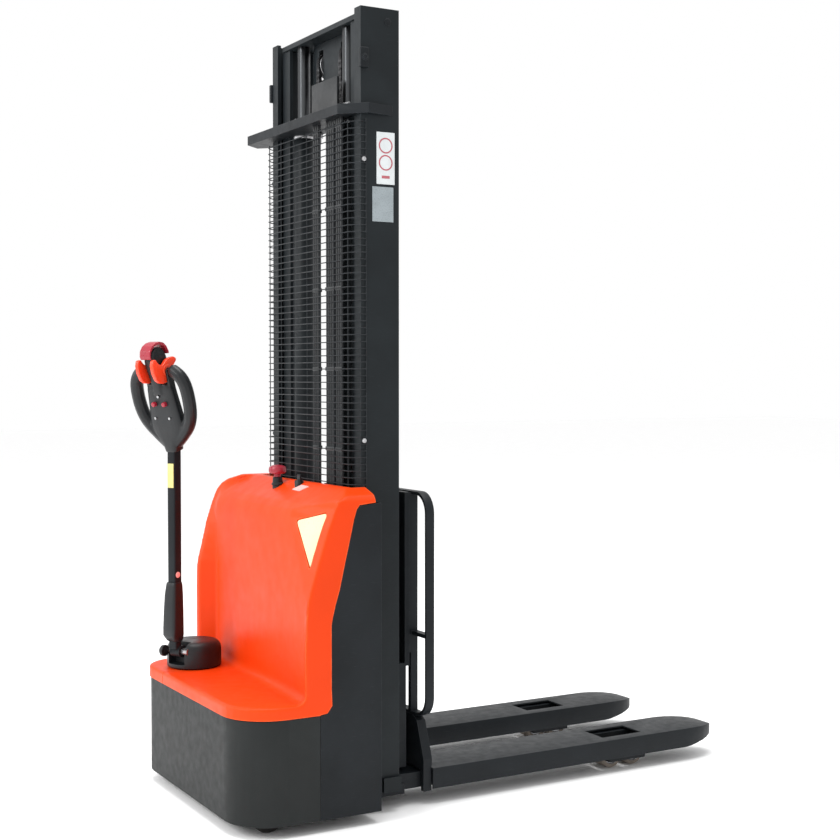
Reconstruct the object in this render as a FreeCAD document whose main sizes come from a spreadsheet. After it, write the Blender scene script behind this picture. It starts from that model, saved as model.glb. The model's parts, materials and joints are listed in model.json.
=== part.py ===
import FreeCAD, Part
import Sketcher
import math
import os
import re

# Walkie stacker: a pedestrian powered stacker with a two-stage mast, fixed support legs
# inside the forks, a tiller on the left and a drive wheel under the tiller.
# Frame: origin on the floor under the fork carriage's front face, on the truck's centreline.
# +X runs along the forks, +Y to the truck's left, +Z up. All sizes in millimetres.

SIZES = [
    # body
    ("body_right", -395, "right face of the skirt, cover and side panel"),
    ("body_left", 452, "left face of the skirt, cover and side panel"),
    ("body_rear", -655, "rear face of the skirt"),
    ("body_front", -222, "front edge of the side panels"),
    ("skirt_low", 35, "ground clearance of the skirt"),
    ("skirt_top", 336, "top of the skirt"),
    ("skirt_seam", -418, "joint between skirt and side panel"),
    ("corner_right", 140, "right rear corner radius of the skirt in plan"),
    ("corner_left", 110, "left rear corner radius of the skirt in plan"),
    ("shell", 5, "thickness of covers and panels"),
    ("seam", 1, "visible gap between neighbouring covers"),
    ("deck_top", 372, "top of the low deck behind the upright"),
    ("deck_rear", -660, "rear edge of the deck rim"),
    # welded frame
    ("plate", 10, "frame plate thickness"),
    ("bulkhead_rear", -300, "rear face of the bulkhead"),
    ("bulkhead_top", 925, "top of the bulkhead"),
    ("floor_low", 60, "underside of the floor plate"),
    # mast
    ("mast_rear", -245, "rear face of the outer channels"),
    ("mast_front", -118, "front face of the outer channels"),
    ("mast_half", 312, "outside face of the outer webs"),
    ("mast_low", 62, "bottom of the outer channels"),
    ("mast_top", 2373, "top of the outer channels"),
    ("flange_depth", 40, "depth of the outer channel across the truck"),
    ("web", 10, "outer web thickness"),
    ("flange", 12, "outer flange thickness"),
    ("inner_rear", -228, "rear face of the inner beams"),
    ("inner_front", -135, "front face of the inner beams"),
    ("inner_in", 215, "inside edge of the inner flanges"),
    ("inner_out", 268, "outside edge of the inner flanges"),
    ("inner_web", 240, "inside face of the inner web"),
    ("inner_flange", 10, "inner flange and web thickness"),
    ("inner_low", 84, "bottom of the inner beams"),
    ("inner_top", 2362, "top of the inner mast"),
    ("tie_low", 2347, "underside of the inner top tie"),
    # lift cylinders and chains
    ("ram_x", -205, "cylinder axis"),
    ("ram_y", 158, "cylinder axis from the centreline"),
    ("ram_tube", 32, "cylinder tube radius"),
    ("ram_bore", 26, "cylinder bore radius"),
    ("ram_rod", 20, "piston rod radius"),
    ("ram_top", 2055, "top of the cylinder tube"),
    ("bracket_low", 2062, "underside of the upper crossmember"),
    ("bracket_high", 2092, "top of the upper crossmember"),
    ("chain_y", 77, "chain centre from the centreline"),
    ("chain_rear", -190, "rear fall of the chains"),
    ("chain_front", -110, "front fall of the chains"),
    ("chain_wide", 19, "chain width"),
    ("chain_thick", 10, "chain thickness"),
    ("sheave_z", 2278, "sheave axis height"),
    # carriage and forks
    ("fork_tip", 1150, "length of the forks from the carriage face"),
    ("fork_in", 128, "inside face of a fork"),
    ("fork_out", 314, "outside face of a fork"),
    ("fork_top", 110, "top of the forks when lowered"),
    ("fork_skin", 6, "fork plate thickness"),
    ("fork_low", 47, "lower edge of the fork sides"),
    ("cross_half", 305, "half width of the fork crossplate"),
    ("cross_back", -30, "rear face of the fork crossplate"),
    ("cross_top", 262, "top of the fork crossplate"),
    ("heel_step", 2, "set-back of the crossplate's face behind the fork heels"),
    ("loop_half", 320, "half width of the load backrest"),
    ("loop_low", 262, "bottom of the load backrest"),
    ("loop_top", 948, "top of the load backrest"),
    ("loop_bar", 10, "thickness of the backrest bar"),
    # support legs and wheels
    ("leg_in", 158, "inside face of a support leg"),
    ("leg_out", 284, "outside face of a support leg"),
    ("leg_low", 50, "underside of a support leg"),
    ("leg_top", 98, "top of a support leg"),
    ("leg_tip", 880, "front end of a support leg"),
    ("load_r", 40, "load wheel radius"),
    ("load_y", 221, "load wheel centre from the centreline"),
    ("load_back", 718, "rear load wheel axle"),
    ("load_front", 806, "front load wheel axle"),
    ("load_half", 35, "half the load wheel's width"),
    ("axle_r", 10, "load wheel axle radius"),
    ("running", 0.05, "running clearance between an axle and its bore"),
    # drive unit and caster
    ("steer_x", -535, "steering axis"),
    ("steer_y", 290, "steering axis from the centreline"),
    ("drive_r", 95, "drive wheel radius"),
    ("drive_half", 33, "half the drive wheel's width"),
    ("drive_axle", 15, "drive axle radius"),
    ("swivel_x", -508, "caster swivel axis"),
    ("swivel_y", -300, "caster swivel axis"),
    ("caster_x", -543, "caster wheel axle"),
    ("caster_r", 50, "caster wheel radius"),
    ("caster_half", 20, "half the caster wheel's width"),
    ("caster_axle", 8, "caster axle radius"),
    # tiller
    ("pivot_x", -606, "tiller tilt pin"),
    ("pivot_z", 430, "tiller tilt pin height"),
    ("pin_r", 10, "tilt pin radius"),
    ("arm_x", -620, "centre of the tiller tube"),
    ("arm_half", 15, "half the tube's depth"),
    ("base_r", 86, "radius of the round tiller base"),
    ("steer_rest", 25, "how far the steered parts stand turned at rest, in degrees"),
    ("head_z", 1236, "height of the middle of the tiller head"),
    ("head_x", -666, "middle of the tiller head"),
    ("head_half", 130, "half the width over the two grips"),
]

doc = FreeCAD.newDocument("WalkieStacker")
sheet = doc.addObject("Spreadsheet::Sheet", "Sizes")
for row, (alias, value, meaning) in enumerate(SIZES, start=1):
    sheet.set("A%d" % row, alias)
    sheet.set("B%d" % row, str(value))
    sheet.set("C%d" % row, meaning)
    sheet.setAlias("B%d" % row, alias)
doc.recompute()

ALIASES = {alias for alias, value, meaning in SIZES}
WORD = re.compile(r"[a-z][a-z0-9_]*")
NODES = {}


def size(alias):
    """The value of one cell of the sheet."""
    return float(sheet.get(alias))


def cells(expression):
    """An expression in which each alias is written as a cell of the sheet."""
    def name(match):
        word = match.group(0)
        return "Sizes." + word if word in ALIASES else word
    return WORD.sub(name, str(expression))


def bind(obj, prop, expression):
    obj.setExpression(prop, cells(expression))


def node(name, obj):
    """Make an object one of the truck's sub-parts, under the name of its file."""
    obj.Label = name
    NODES[name] = obj
    return obj


# ---------------------------------------------------------------- building blocks

def box(name, low, high):
    """A block between two corners, each coordinate an expression."""
    block = doc.addObject("Part::Box", name)
    for prop, start, end in zip(("Length", "Width", "Height"), low, high):
        bind(block, prop, "(%s) - (%s)" % (end, start))
    for axis, start in zip("xyz", low):
        bind(block, "Placement.Base." + axis, start)
    return block


TURNS = {
    "x": FreeCAD.Rotation(FreeCAD.Vector(0, 1, 0), 90),
    "y": FreeCAD.Rotation(FreeCAD.Vector(1, 0, 0), -90),
    "z": FreeCAD.Rotation(),
}


def rod(name, axis, radius, centre, low, high):
    """A round bar along one axis; centre holds its other two coordinates in order."""
    bar = doc.addObject("Part::Cylinder", name)
    bar.Placement.Rotation = TURNS[axis]
    bind(bar, "Radius", radius)
    bind(bar, "Height", "(%s) - (%s)" % (high, low))
    places = dict(zip([a for a in "xyz" if a != axis], centre))
    places[axis] = low
    for letter in "xyz":
        bind(bar, "Placement.Base." + letter, places[letter])
    return bar


def cut(name, base, tool):
    result = doc.addObject("Part::Cut", name)
    result.Base = base
    result.Tool = tool
    return result


def fuse(name, parts):
    result = doc.addObject("Part::MultiFuse", name)
    result.Shapes = parts
    return result


def common(name, parts):
    result = doc.addObject("Part::MultiCommon", name)
    result.Shapes = parts
    return result


def group(name, parts):
    """Separate solids that share one node."""
    result = doc.addObject("Part::Compound", name)
    result.Links = parts
    return result


def mirror(name, source):
    """The same piece on the other side of the truck."""
    result = doc.addObject("Part::Mirroring", name)
    result.Source = source
    result.Normal = FreeCAD.Vector(0, 1, 0)
    return result


def ring(name, axis, inner, outer, centre, low, high):
    """A round bar with a bore through it."""
    bar = rod(name + "_bar", axis, outer, centre, low, high)
    bore = rod(name + "_bore", axis, inner, centre, "(%s) - 1" % low, "(%s) + 1" % high)
    return cut(name, bar, bore)


def upright_edges(shape, corners, along):
    """Names of the edges that run in one direction through any of the corners."""
    names = []
    for number, edge in enumerate(shape.Edges, start=1):
        run = edge.Vertexes[-1].Point - edge.Vertexes[0].Point
        parallel = run.Length > 0 and abs(abs(run.dot(along)) - run.Length) < 0.001
        if parallel and any(edge.distToShape(Part.Vertex(corner))[0] < 0.001 for corner in corners):
            names.append("Edge%d" % number)
    return names


PLANES = {"x": "YZ_Plane", "y": "XZ_Plane", "z": "XY_Plane"}


def prism(name, axis, outline, low, high, rounds=()):
    """A padded outline. Its points are pairs of expressions in the plane's own two
    coordinates: X,Y for axis z, X,Z for axis y and Y,Z for axis x. rounds holds pairs of
    a list of corner numbers and the radius that rounds them."""
    body = doc.addObject("PartDesign::Body", name)
    plane = [f for f in body.Origin.OriginFeatures if f.Role == PLANES[axis]][0]
    sketch = body.newObject("Sketcher::SketchObject", name + "_outline")
    sketch.AttachmentSupport = [(plane, "")]
    sketch.MapMode = "FlatFace"
    bind(sketch, "AttachmentOffset.Base.z", "-(%s)" % high if axis == "y" else low)
    count = len(outline)
    spots = [FreeCAD.Vector(math.cos(math.tau * i / count), math.sin(math.tau * i / count), 0)
             for i in range(count)]
    for i in range(count):
        sketch.addGeometry(Part.LineSegment(spots[i], spots[(i + 1) % count]), False)
    joints = [Sketcher.Constraint("Coincident", i, 2, (i + 1) % count, 1) for i in range(count)]
    sketch.addConstraint(joints)
    for i, (across, along) in enumerate(outline):
        for kind, text in (("DistanceX", across), ("DistanceY", along)):
            index = sketch.addConstraint(Sketcher.Constraint(kind, i, 1, 1.0))
            bind(sketch, "Constraints[%d]" % index, text)
    pad = body.newObject("PartDesign::Pad", name + "_pad")
    pad.Profile = sketch
    bind(pad, "Length", "(%s) - (%s)" % (high, low))
    along = sketch.Placement.Rotation.multVec(FreeCAD.Vector(0, 0, 1))
    last = pad
    for order, (numbers, radius) in enumerate(rounds):
        doc.recompute()
        corners = [sketch.getGlobalPlacement().multVec(sketch.Geometry[i].StartPoint) for i in numbers]
        soft = body.newObject("PartDesign::Fillet", "%s_corners_%d" % (name, order))
        soft.Base = (last, upright_edges(last.Shape, corners, along))
        bind(soft, "Radius", radius)
        last = soft
    return body


# ---------------------------------------------------------------- covers and panels

def body_outline(rear, front, inset):
    """Plan outline of the rear body, set in from its outside."""
    right, left = "body_right + (%s)" % inset, "body_left - (%s)" % inset
    return [(rear, right), (front, right), (front, left), (rear, left)]


def rear_skirt():
    """U-shaped skirt round the low rear end, open below, in front and above."""
    outer = prism("skirt_outer", "z", body_outline("body_rear", "skirt_seam", "0"), "skirt_low", "skirt_top",
                  [((0,), "corner_right"), ((3,), "corner_left")])
    inner = prism("skirt_inner", "z", body_outline("body_rear + shell", "skirt_seam + 10", "shell"),
                  "skirt_low - 10", "skirt_top + 10",
                  [((0,), "corner_right - shell"), ((3,), "corner_left - shell")])
    node("rear_skirt", cut("rear_skirt", outer, inner))


def side_panels():
    """Steel side panels with a return at the front edge that meets the mast."""
    outline = [("skirt_seam + seam", "skirt_low"), ("body_front", "skirt_low"),
               ("body_front", "933"), ("-292", "927"), ("-302", "916"), ("-324", "831"),
               ("-357", "690"), ("-383", "600"), ("-383", "407"), ("-380", "361"),
               ("-396", "340"), ("skirt_seam + seam", "skirt_top")]
    for name, skin, edge in (("side_panel_left", ("body_left - shell", "body_left"),
                              ("mast_half + 3", "body_left - shell")),
                             ("side_panel_right", ("body_right", "body_right + shell"),
                              ("body_right + shell", "-mast_half - 3"))):
        panel = prism(name + "_skin", "y", outline, *skin)
        front = box(name + "_return", ("body_front - shell", edge[0], "skirt_low"),
                    ("body_front", edge[1], "933"))
        node(name, fuse(name, [panel, front]))


# The upright at each level: height, recessed wall, how far the wall bows out towards the right
# wing, right wing's corner, where its bevel ends, left wing's corner, inset of both sides
COVER_LEVELS = [
    (372, -440, 38, -484, -372, -474, 0),
    (396, -421, 38, -466, -372, -464, 0),
    (650, -420, 37, -462, -372, -462, 0),
    (754, -420, 22, -426, -298, -441, 0),
    (870, -420, 5, -389, -208, -411, 0),
    (904, -412, 0, -375, -181, -396, 0),
    (941, -357, 0, -360, -383, -375, 3),
    (956, -330, 0, -331, -374, -355, 16),
    (974, -300, 0, -300, -318, -325, 70),
]
COVER_FRONT = -200


def plan_section(shrink, level):
    """One level of the upright cover as a closed outline, moved inwards by shrink."""
    height, wall, bow, right_corner, bevel, left_corner, inset = level
    right, left = size("body_right") + inset + shrink, size("body_left") - inset - shrink
    crease = min(383, left - 48)
    points = [(COVER_FRONT, right), (right_corner + 1.4 * shrink, right)]
    for share in (1.0, 0.66, 0.33, 0.0):
        y = crease + (bevel - crease) * share
        points.append((wall - bow * share ** 2.2 + shrink, y + shrink * share))
    corner = left_corner + 1.4 * shrink
    points += [(corner, left - 40), (corner, left), (COVER_FRONT, left)]
    height -= shrink if height > 900 else 0
    return ring_of([(x, y, height) for x, y in points])


def upright(shrink):
    """The upright part of the cover as a solid, moved inwards by shrink."""
    levels = [list(level) for level in COVER_LEVELS]
    levels[0][0] = size("skirt_top") - shrink
    return Part.makeLoft([plan_section(shrink, level) for level in levels], True, True)


def deck_block(inset, low, high):
    """Solid of the deck with rounded rear corners, set in from the cover's outside."""
    rear, right, left = size("deck_rear") + inset, size("body_right") + inset, size("body_left") - inset
    block = Part.makeBox(-400 - rear, left - right, high - low, FreeCAD.Vector(rear, right, low))
    for corner_y, radius in ((right, "corner_right"), (left, "corner_left")):
        spot = Part.Vertex(rear, corner_y, (low + high) / 2)
        edges = [edge for edge in block.Edges if edge.distToShape(spot)[0] < 0.001]
        block = block.makeFillet(size(radius) - inset, edges)
    return block


def ring_of(points):
    """Closed polygon through a list of coordinates."""
    corners = [FreeCAD.Vector(*point) for point in points]
    return Part.makePolygon(corners + corners[:1])


# front edge of the cover's sides, where the side panels begin
SIDE_LINE = [(-419, 300), (-419, 338), (-397, 342), (-382, 362), (-385, 408), (-385, 602), (-359, 691),
             (-326, 832), (-304, 918), (-293, 929), (-239, 935), (-150, 935), (-150, 300)]
ESTOP = (-333, 87)
KEY = (-315, -34)
LENS = [(-418, -230, 878), (-380, -360, 909), (-432, -354, 748)]


def main_cover():
    """Moulded cover: low deck, two wings and a recessed wall between them."""
    rear, right, left = size("deck_rear"), size("body_right"), size("body_left")
    low, top, wall, seam = size("skirt_top"), size("deck_top"), size("shell"), size("seam")
    deck = deck_block(0, low, top)
    rim = [e for e in deck.Edges if e.BoundBox.ZMin > top - 0.1 and e.BoundBox.XMin < -401]
    outer = deck.makeChamfer(12, rim).fuse(upright(0))
    outer = outer.cut([deck_block(wall, low - 5, top - 19), upright(wall)])
    sides = Part.Face(ring_of([(x, right - 1, z) for x, z in SIDE_LINE]))
    sides = sides.extrude(FreeCAD.Vector(0, left - right + 2, 0))
    gap = size("mast_half") + 10
    mast = Part.makeBox(200, 2 * gap, 800, FreeCAD.Vector(-283, -gap, 250))
    ahead = Part.makeBox(100, left - right + 2, 100, FreeCAD.Vector(-240, right - 1, 900))
    edge = size("steer_y") - 50
    piece = Part.makeBox(172, left - edge, 60, FreeCAD.Vector(rear, edge, low - 1))
    piece = piece.cut(Part.makeBox(60, 170, 60, FreeCAD.Vector(-490, 344, low - 1)))
    cutout = Part.makeBox(172 + seam, left - edge + seam, 60, FreeCAD.Vector(rear, edge - seam, low - 1))
    cutout = cutout.cut(Part.makeBox(60, 170, 60, FreeCAD.Vector(-490 + seam, 344 + seam, low - 1)))
    neck = Part.makeCylinder(46, 80, FreeCAD.Vector(size("steer_x"), size("steer_y"), 320))
    holes = [Part.makeCylinder(16.3, 60, FreeCAD.Vector(*ESTOP, 920)),
             Part.makeCylinder(14.3, 60, FreeCAD.Vector(*KEY, 930))]
    lens = lens_solid()
    pieces = {"main_cover": outer.cut([sides, mast, ahead, cutout, neck, lens] + holes),
              "tiller_deck_cover": outer.common(piece).cut(neck),
              "lamp_lens": lens}
    for name, shape in pieces.items():
        feature = doc.addObject("Part::Feature", name)
        feature.Shape = shape
        node(name, feature)


def lens_solid():
    """Triangular lens on the bevel of the right wing."""
    face = Part.Face(ring_of(LENS))
    corners = [vertex.Point for vertex in face.Vertexes]
    out = (corners[1] - corners[0]).cross(corners[2] - corners[0]).normalize()
    if out.x > 0:
        out = out * -1
    return face.translated(out * -9).extrude(out * 14)


def estop_and_key():
    """Emergency stop mushroom on its collar, and the key switch knob, both through the cover."""
    centre = tuple(str(value) for value in ESTOP)
    node("estop_base", ring("estop_base", "z", "11 + running", "16", centre, "930", "987"))
    stem = rod("estop_stem", "z", "11", centre, "945", "995")
    head = rod("estop_head", "z", "27", centre, "993", "1019")
    node("estop_button", fuse("estop_button", [stem, head]))
    barrel = rod("key_barrel", "z", "14", tuple(str(value) for value in KEY), "945", "980")
    wing = box("key_wing", ("-318", "-46", "978"), ("-312", "-22", "996"))
    node("key_knob", fuse("key_knob", [barrel, wing]))


# ---------------------------------------------------------------- frame and machinery

def chassis_frame():
    """Welded frame: floor, bulkhead, drive plate with its ring, caster plate and gussets."""
    floor = box("floor_plate", ("-628", "-196", "floor_low"), ("bulkhead_rear", "176", "floor_low + plate"))
    wall_left = box("drive_wall", ("-628", "176", "floor_low"), ("bulkhead_rear", "186", "226"))
    wall_right = box("caster_wall", ("-628", "-206", "floor_low"), ("bulkhead_rear", "-196", "226"))
    drive = box("drive_plate", ("-640", "176", "216"), ("bulkhead_rear", "body_left - shell - 4", "226"))
    hole = rod("drive_hole", "z", "70", ("steer_x", "steer_y"), "200", "240")
    caster = box("caster_plate", ("-610", "-385", "130"), ("bulkhead_rear", "-196", "140"))
    stud = rod("caster_hole", "z", "12.05", ("swivel_x", "swivel_y"), "120", "150")
    bulkhead = box("bulkhead", ("bulkhead_rear", "-385", "floor_low"),
                   ("bulkhead_rear + plate", "body_left - shell - 4", "bulkhead_top"))
    gussets = []
    for number, (low, high) in enumerate((("mast_half + 2", "mast_half + 12"),
                                          ("-mast_half - 12", "-mast_half - 2"))):
        gussets.append(box("gusset_%d" % number, ("bulkhead_rear + plate", low, "floor_low"),
                           ("body_front - shell - 1", high, "bulkhead_top - 20")))
    links = [box("foot_link_%d" % i, ("bulkhead_rear", low, "floor_low"),
                 ("mast_rear", high, "mast_low + 18"))
             for i, (low, high) in enumerate((("-mast_half - 12", "-200"), ("200", "mast_half + 12")))]
    frame = fuse("frame_welded", [floor, wall_left, wall_right, cut("drive_deck", drive, hole),
                                  cut("caster_deck", caster, stud), bulkhead] + gussets + links)
    space = prism("frame_space", "z", body_outline("body_rear + shell + 3", "mast_front", "shell + 3"),
                  "skirt_low", "bulkhead_top + 10",
                  [((0,), "corner_right - shell - 3"), ((3,), "corner_left - shell + 5")])
    node("chassis_frame", common("chassis_frame", [frame, space]))


def machinery():
    """What stands inside the cover: battery, pump motor, oil tank and drive controller."""
    cells_box = box("battery_case", ("-622", "-184", "floor_low + plate"), ("-312", "164", "290"))
    posts = [rod("battery_post_%d" % i, "z", "9", ("-360", y), "290", "306")
             for i, y in enumerate(("-120", "100"))]
    node("battery", fuse("battery", [cells_box] + posts))
    node("oil_tank", box("oil_tank", ("-404", "-286", "400"), ("-310", "-60", "640")))
    motor = rod("pump_motor_can", "z", "46", ("-354", "-170"), "660", "850")
    pump = box("pump_block", ("-394", "-210", "640"), ("-314", "-130", "660"))
    node("pump_motor", fuse("pump_motor", [motor, pump]))
    fins = [box("controller_fin_%d" % i, ("-345", "%d" % (50 + 22 * i), "430"),
                ("-325", "%d" % (54 + 22 * i), "610"))
            for i in range(8)]
    plate = box("controller_plate", ("-325", "46", "430"), ("bulkhead_rear", "212", "610"))
    node("drive_controller", fuse("drive_controller", [plate] + fins))


def drive_unit():
    """Steered drive: ring, gearbox, motor and wheel on the steering axis."""
    centre = ("steer_x", "steer_y")
    flange = rod("gear_ring", "z", "69.5", centre, "200", "232")
    column = box("gear_case", ("steer_x - 45", "steer_y + drive_half + 5", "50"),
                 ("steer_x + 45", "steer_y + drive_half + 27", "205"))
    arm = box("gear_bridge", ("steer_x - 45", "steer_y - 40", "198"),
              ("steer_x + 45", "steer_y + 60", "212"))
    axle = rod("drive_axle_bar", "y", "drive_axle", ("steer_x", "drive_r"),
               "steer_y - drive_half", "steer_y + drive_half + 6")
    node("drive_gearbox", fuse("drive_gearbox", [flange, column, arm, axle]))
    can = rod("drive_motor_can", "z", "46", centre, "232", "330")
    cap = rod("drive_motor_cap", "z", "38", centre, "330", "352")
    node("drive_motor", fuse("drive_motor", [can, cap]))
    node("drive_wheel", ring("drive_wheel", "y", "drive_axle + running", "drive_r",
                             ("steer_x", "drive_r"), "steer_y - drive_half", "steer_y + drive_half"))


def caster():
    """Trailing stabilising caster under the right rear corner."""
    top = rod("caster_top", "z", "30", ("swivel_x", "swivel_y"), "118", "129")
    stud = rod("caster_stud", "z", "12", ("swivel_x", "swivel_y"), "126", "158")
    cheeks = []
    for number, side in enumerate((1, -1)):
        low, high = sorted((side * 24, side * 29))
        cheeks.append(box("caster_cheek_%d" % number,
                          ("caster_x - 14", "swivel_y + (%d)" % low, "caster_r - 14"),
                          ("swivel_x + 18", "swivel_y + (%d)" % high, "120")))
    crown = box("caster_crown", ("caster_x - 14", "swivel_y - 29", "110"),
                ("swivel_x + 22", "swivel_y + 29", "120"))
    pin = rod("caster_pin", "y", "caster_axle", ("caster_x", "caster_r"), "swivel_y - 29", "swivel_y + 29")
    node("caster_fork", fuse("caster_fork", [top, stud, crown, pin] + cheeks))
    node("caster_wheel", ring("caster_wheel", "y", "caster_axle + running", "caster_r",
                              ("caster_x", "caster_r"), "swivel_y - caster_half", "swivel_y + caster_half"))


# ---------------------------------------------------------------- mast

def outer_mast():
    """Two channels that open inwards, joined by a foot tie and the upper crossmember."""
    front, back = "mast_front", "mast_rear"
    outline = [(back, "mast_half"), (back, "mast_half - flange_depth"),
               (back + " + flange", "mast_half - flange_depth"), (back + " + flange", "mast_half - web"),
               (front + " - flange", "mast_half - web"), (front + " - flange", "mast_half - flange_depth"),
               (front, "mast_half - flange_depth"), (front, "mast_half")]
    channel = prism("outer_channel", "z", outline, "mast_low", "mast_top")
    foot = box("mast_foot", ("-175", "mast_half", "mast_low"), ("-117", "mast_half + 12", "105"))
    stub = rod("outer_stub", "y", "12", ("(inner_rear + inner_front) / 2", "2300"),
               "inner_web + 18", "mast_half - web")
    left = fuse("mast_channel_left", [channel, foot, stub])
    node("mast_channel_left", left)
    node("mast_channel_right", mirror("mast_channel_right", left))
    node("mast_lower_tie", box("mast_lower_tie", ("mast_rear + flange", "-mast_half + web", "mast_low"),
                               ("mast_front - flange", "mast_half - web", "mast_low + 16")))


def upper_crossmember():
    """Bent tie round the back of the mast, with a web that holds cylinders and chain anchors."""
    outline = [("-298", "-265"), ("-228", "-335"), ("-137", "-mast_half"), ("mast_rear", "-mast_half"),
               ("mast_rear", "-196"), ("ram_x + 37", "-196"), ("ram_x + 37", "-120"), ("-176", "-110"),
               ("-176", "110"), ("ram_x + 37", "120"), ("ram_x + 37", "196"), ("mast_rear", "196"),
               ("mast_rear", "mast_half"), ("-137", "mast_half"), ("-209", "414"), ("-243", "446"),
               ("-298", "400")]
    plate = prism("crossmember_plate", "z", outline, "bracket_low", "bracket_high")
    holes = [rod("crossmember_hole_%d" % i, "z", "ram_tube", ("ram_x", y), "bracket_low - 1",
                 "bracket_high + 1")
             for i, y in enumerate(("ram_y", "-ram_y"))]
    drilled = cut("crossmember_drilled", plate, fuse("crossmember_holes", holes))
    node("upper_crossmember", drilled)


def cylinders():
    """Two single-acting lift cylinders with their glands and rods."""
    tubes, glands, rods = [], [], []
    for i, y in enumerate(("ram_y", "-ram_y")):
        centre = ("ram_x", y)
        outer = rod("ram_outer_%d" % i, "z", "ram_tube", centre, "mast_low + 16", "ram_top")
        bore = rod("ram_bore_%d" % i, "z", "ram_bore", centre, "mast_low + 32", "ram_top + 1")
        tubes.append(cut("ram_tube_%d" % i, outer, bore))
        glands.append(ring("gland_%d" % i, "z", "ram_rod + running", "ram_tube", centre, "ram_top",
                           "bracket_high + 6"))
        shaft = rod("ram_shaft_%d" % i, "z", "ram_rod", centre, "130", "tie_low")
        piston = rod("ram_piston_%d" % i, "z", "ram_bore - running", centre, "100", "130")
        rods.append(fuse("ram_rod_%d" % i, [shaft, piston]))
    node("lift_cylinders", group("lift_cylinders", tubes))
    node("cylinder_glands", group("cylinder_glands", glands))
    node("lift_rods", group("lift_rods", rods))


def mesh_guard():
    """Welded wire guard behind the mast: bent horizontal wires on upright wires."""
    wire, low, high, pitch = 3, 958, 2044, 20
    outline = [(-275, 285), (-249, 316), (-227, 316), (-227, 313), (-247.6, 313), (-272, 283)]
    points = [FreeCAD.Vector(x, y, 0) for x, y in outline]
    points += [FreeCAD.Vector(x, -y, 0) for x, y in reversed(outline)]
    band = Part.Face(Part.makePolygon(points + points[:1])).extrude(FreeCAD.Vector(0, 0, wire))
    count = int((high - low) / pitch) + 1
    bands = [band.translated(FreeCAD.Vector(0, 0, low + pitch * i)) for i in range(count)]
    uprights = [Part.makeBox(4, 4, high - low + wire, FreeCAD.Vector(-274, y - 2, low))
                for y in (-280, -190, -95, 0, 95, 190, 280)]
    uprights += [Part.makeBox(4, 4, high - low + wire, FreeCAD.Vector(-231, y - 2, low))
                 for y in (-315, 315)]
    guard = doc.addObject("Part::Feature", "mesh_guard")
    guard.Shape = bands[0].fuse(bands[1:] + uprights)
    node("mesh_guard", guard)


def fasteners():
    """Guard clamps with their bolts, mast web screws and the lift limit switch bracket."""
    parts = []
    for i, z in enumerate((1109.5, 1929.5)):
        for j, side in enumerate((1, -1)):
            low, high = sorted((side * 312, side * 322))
            parts.append(box("guard_clamp_%d_%d" % (i, j), ("-244", str(low), str(z - 7)),
                             ("-233", str(high), str(z + 7))))
    for j, side in enumerate((1, -1)):
        low, high = sorted((side * 312, side * 315))
        parts.append(rod("web_screw_%d" % j, "y", "12", ("-156", "2335"), str(low), str(high)))
        low, high = sorted((side * 312, side * 330))
        parts.append(box("web_clip_%d" % j, ("-252", str(low), "2192"), ("-222", str(high), "2254")))
    node("frame_fasteners", group("frame_fasteners", parts))


def inner_mast():
    """Two I-beams that slide between the outer channels, tied at the top and low behind."""
    outline = [("inner_rear", "inner_in"), ("inner_rear + inner_flange", "inner_in"),
               ("inner_rear + inner_flange", "inner_web"), ("inner_front - inner_flange", "inner_web"),
               ("inner_front - inner_flange", "inner_in"), ("inner_front", "inner_in"),
               ("inner_front", "inner_out"), ("inner_front - inner_flange", "inner_out"),
               ("inner_front - inner_flange", "inner_web + inner_flange"),
               ("inner_rear + inner_flange", "inner_web + inner_flange"),
               ("inner_rear + inner_flange", "inner_out"), ("inner_rear", "inner_out")]
    beam = prism("inner_beam", "z", outline, "inner_low", "tie_low")
    stub = rod("inner_stub", "y", "12", ("(inner_rear + inner_front) / 2", "150"),
               "inner_web + inner_flange", "mast_half - web - 3")
    left = fuse("inner_channel_left", [beam, stub])
    node("inner_channel_left", left)
    node("inner_channel_right", mirror("inner_channel_right", left))
    node("inner_top_tie", box("inner_top_tie", ("-235", "-inner_out + 10", "tie_low"),
                              ("inner_front - 4", "inner_out - 10", "inner_top")))
    lower = [box("lower_tie_bar", ("-256", "-262", "inner_low"), ("-241", "262", "184"))]
    for i, (low, high) in enumerate((("inner_in", "262"), ("-262", "-inner_in"))):
        lower.append(box("lower_tie_lug_%d" % i, ("-241", low, "inner_low"), ("inner_rear", high, "184")))
    node("inner_lower_tie", fuse("inner_lower_tie", lower))
    plate = box("sheave_plate", ("-183", "-130", "2210"), ("-177", "130", "tie_low"))
    slots = [box("sheave_slot_%d" % i, ("-190", "%s - 15" % y, "2230"), ("-170", "%s + 15" % y, "2325"))
             for i, y in enumerate(("chain_y", "-chain_y"))]
    ears = [box("sheave_ear_%d" % i, ("-177", str(y), "2250"), ("-130", str(y + 6), "tie_low"))
            for i, y in enumerate((-106, -54, 48, 100))]
    pins = [rod("sheave_pin_%d" % i, "y", "11", ("-150", "sheave_z"), low, high)
            for i, (low, high) in enumerate((("-106", "-48"), ("48", "106")))]
    slotted = cut("sheave_slotted", plate, fuse("sheave_slots", slots))
    node("sheave_carrier", fuse("sheave_carrier", [slotted] + ears + pins))
    wheels = []
    for i, y in enumerate(("chain_y", "-chain_y")):
        centre = ("-150", "sheave_z")
        rim = ring("sheave_rim_%d" % i, "y", "11 + running", "42", centre, y + " - 14", y + " + 14")
        groove = ring("sheave_groove_%d" % i, "y", "34.6", "50", centre, y + " - 10.5", y + " + 10.5")
        wheels.append(cut("sheave_%d" % i, rim, groove))
    node("chain_sheaves", group("chain_sheaves", wheels))


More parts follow.
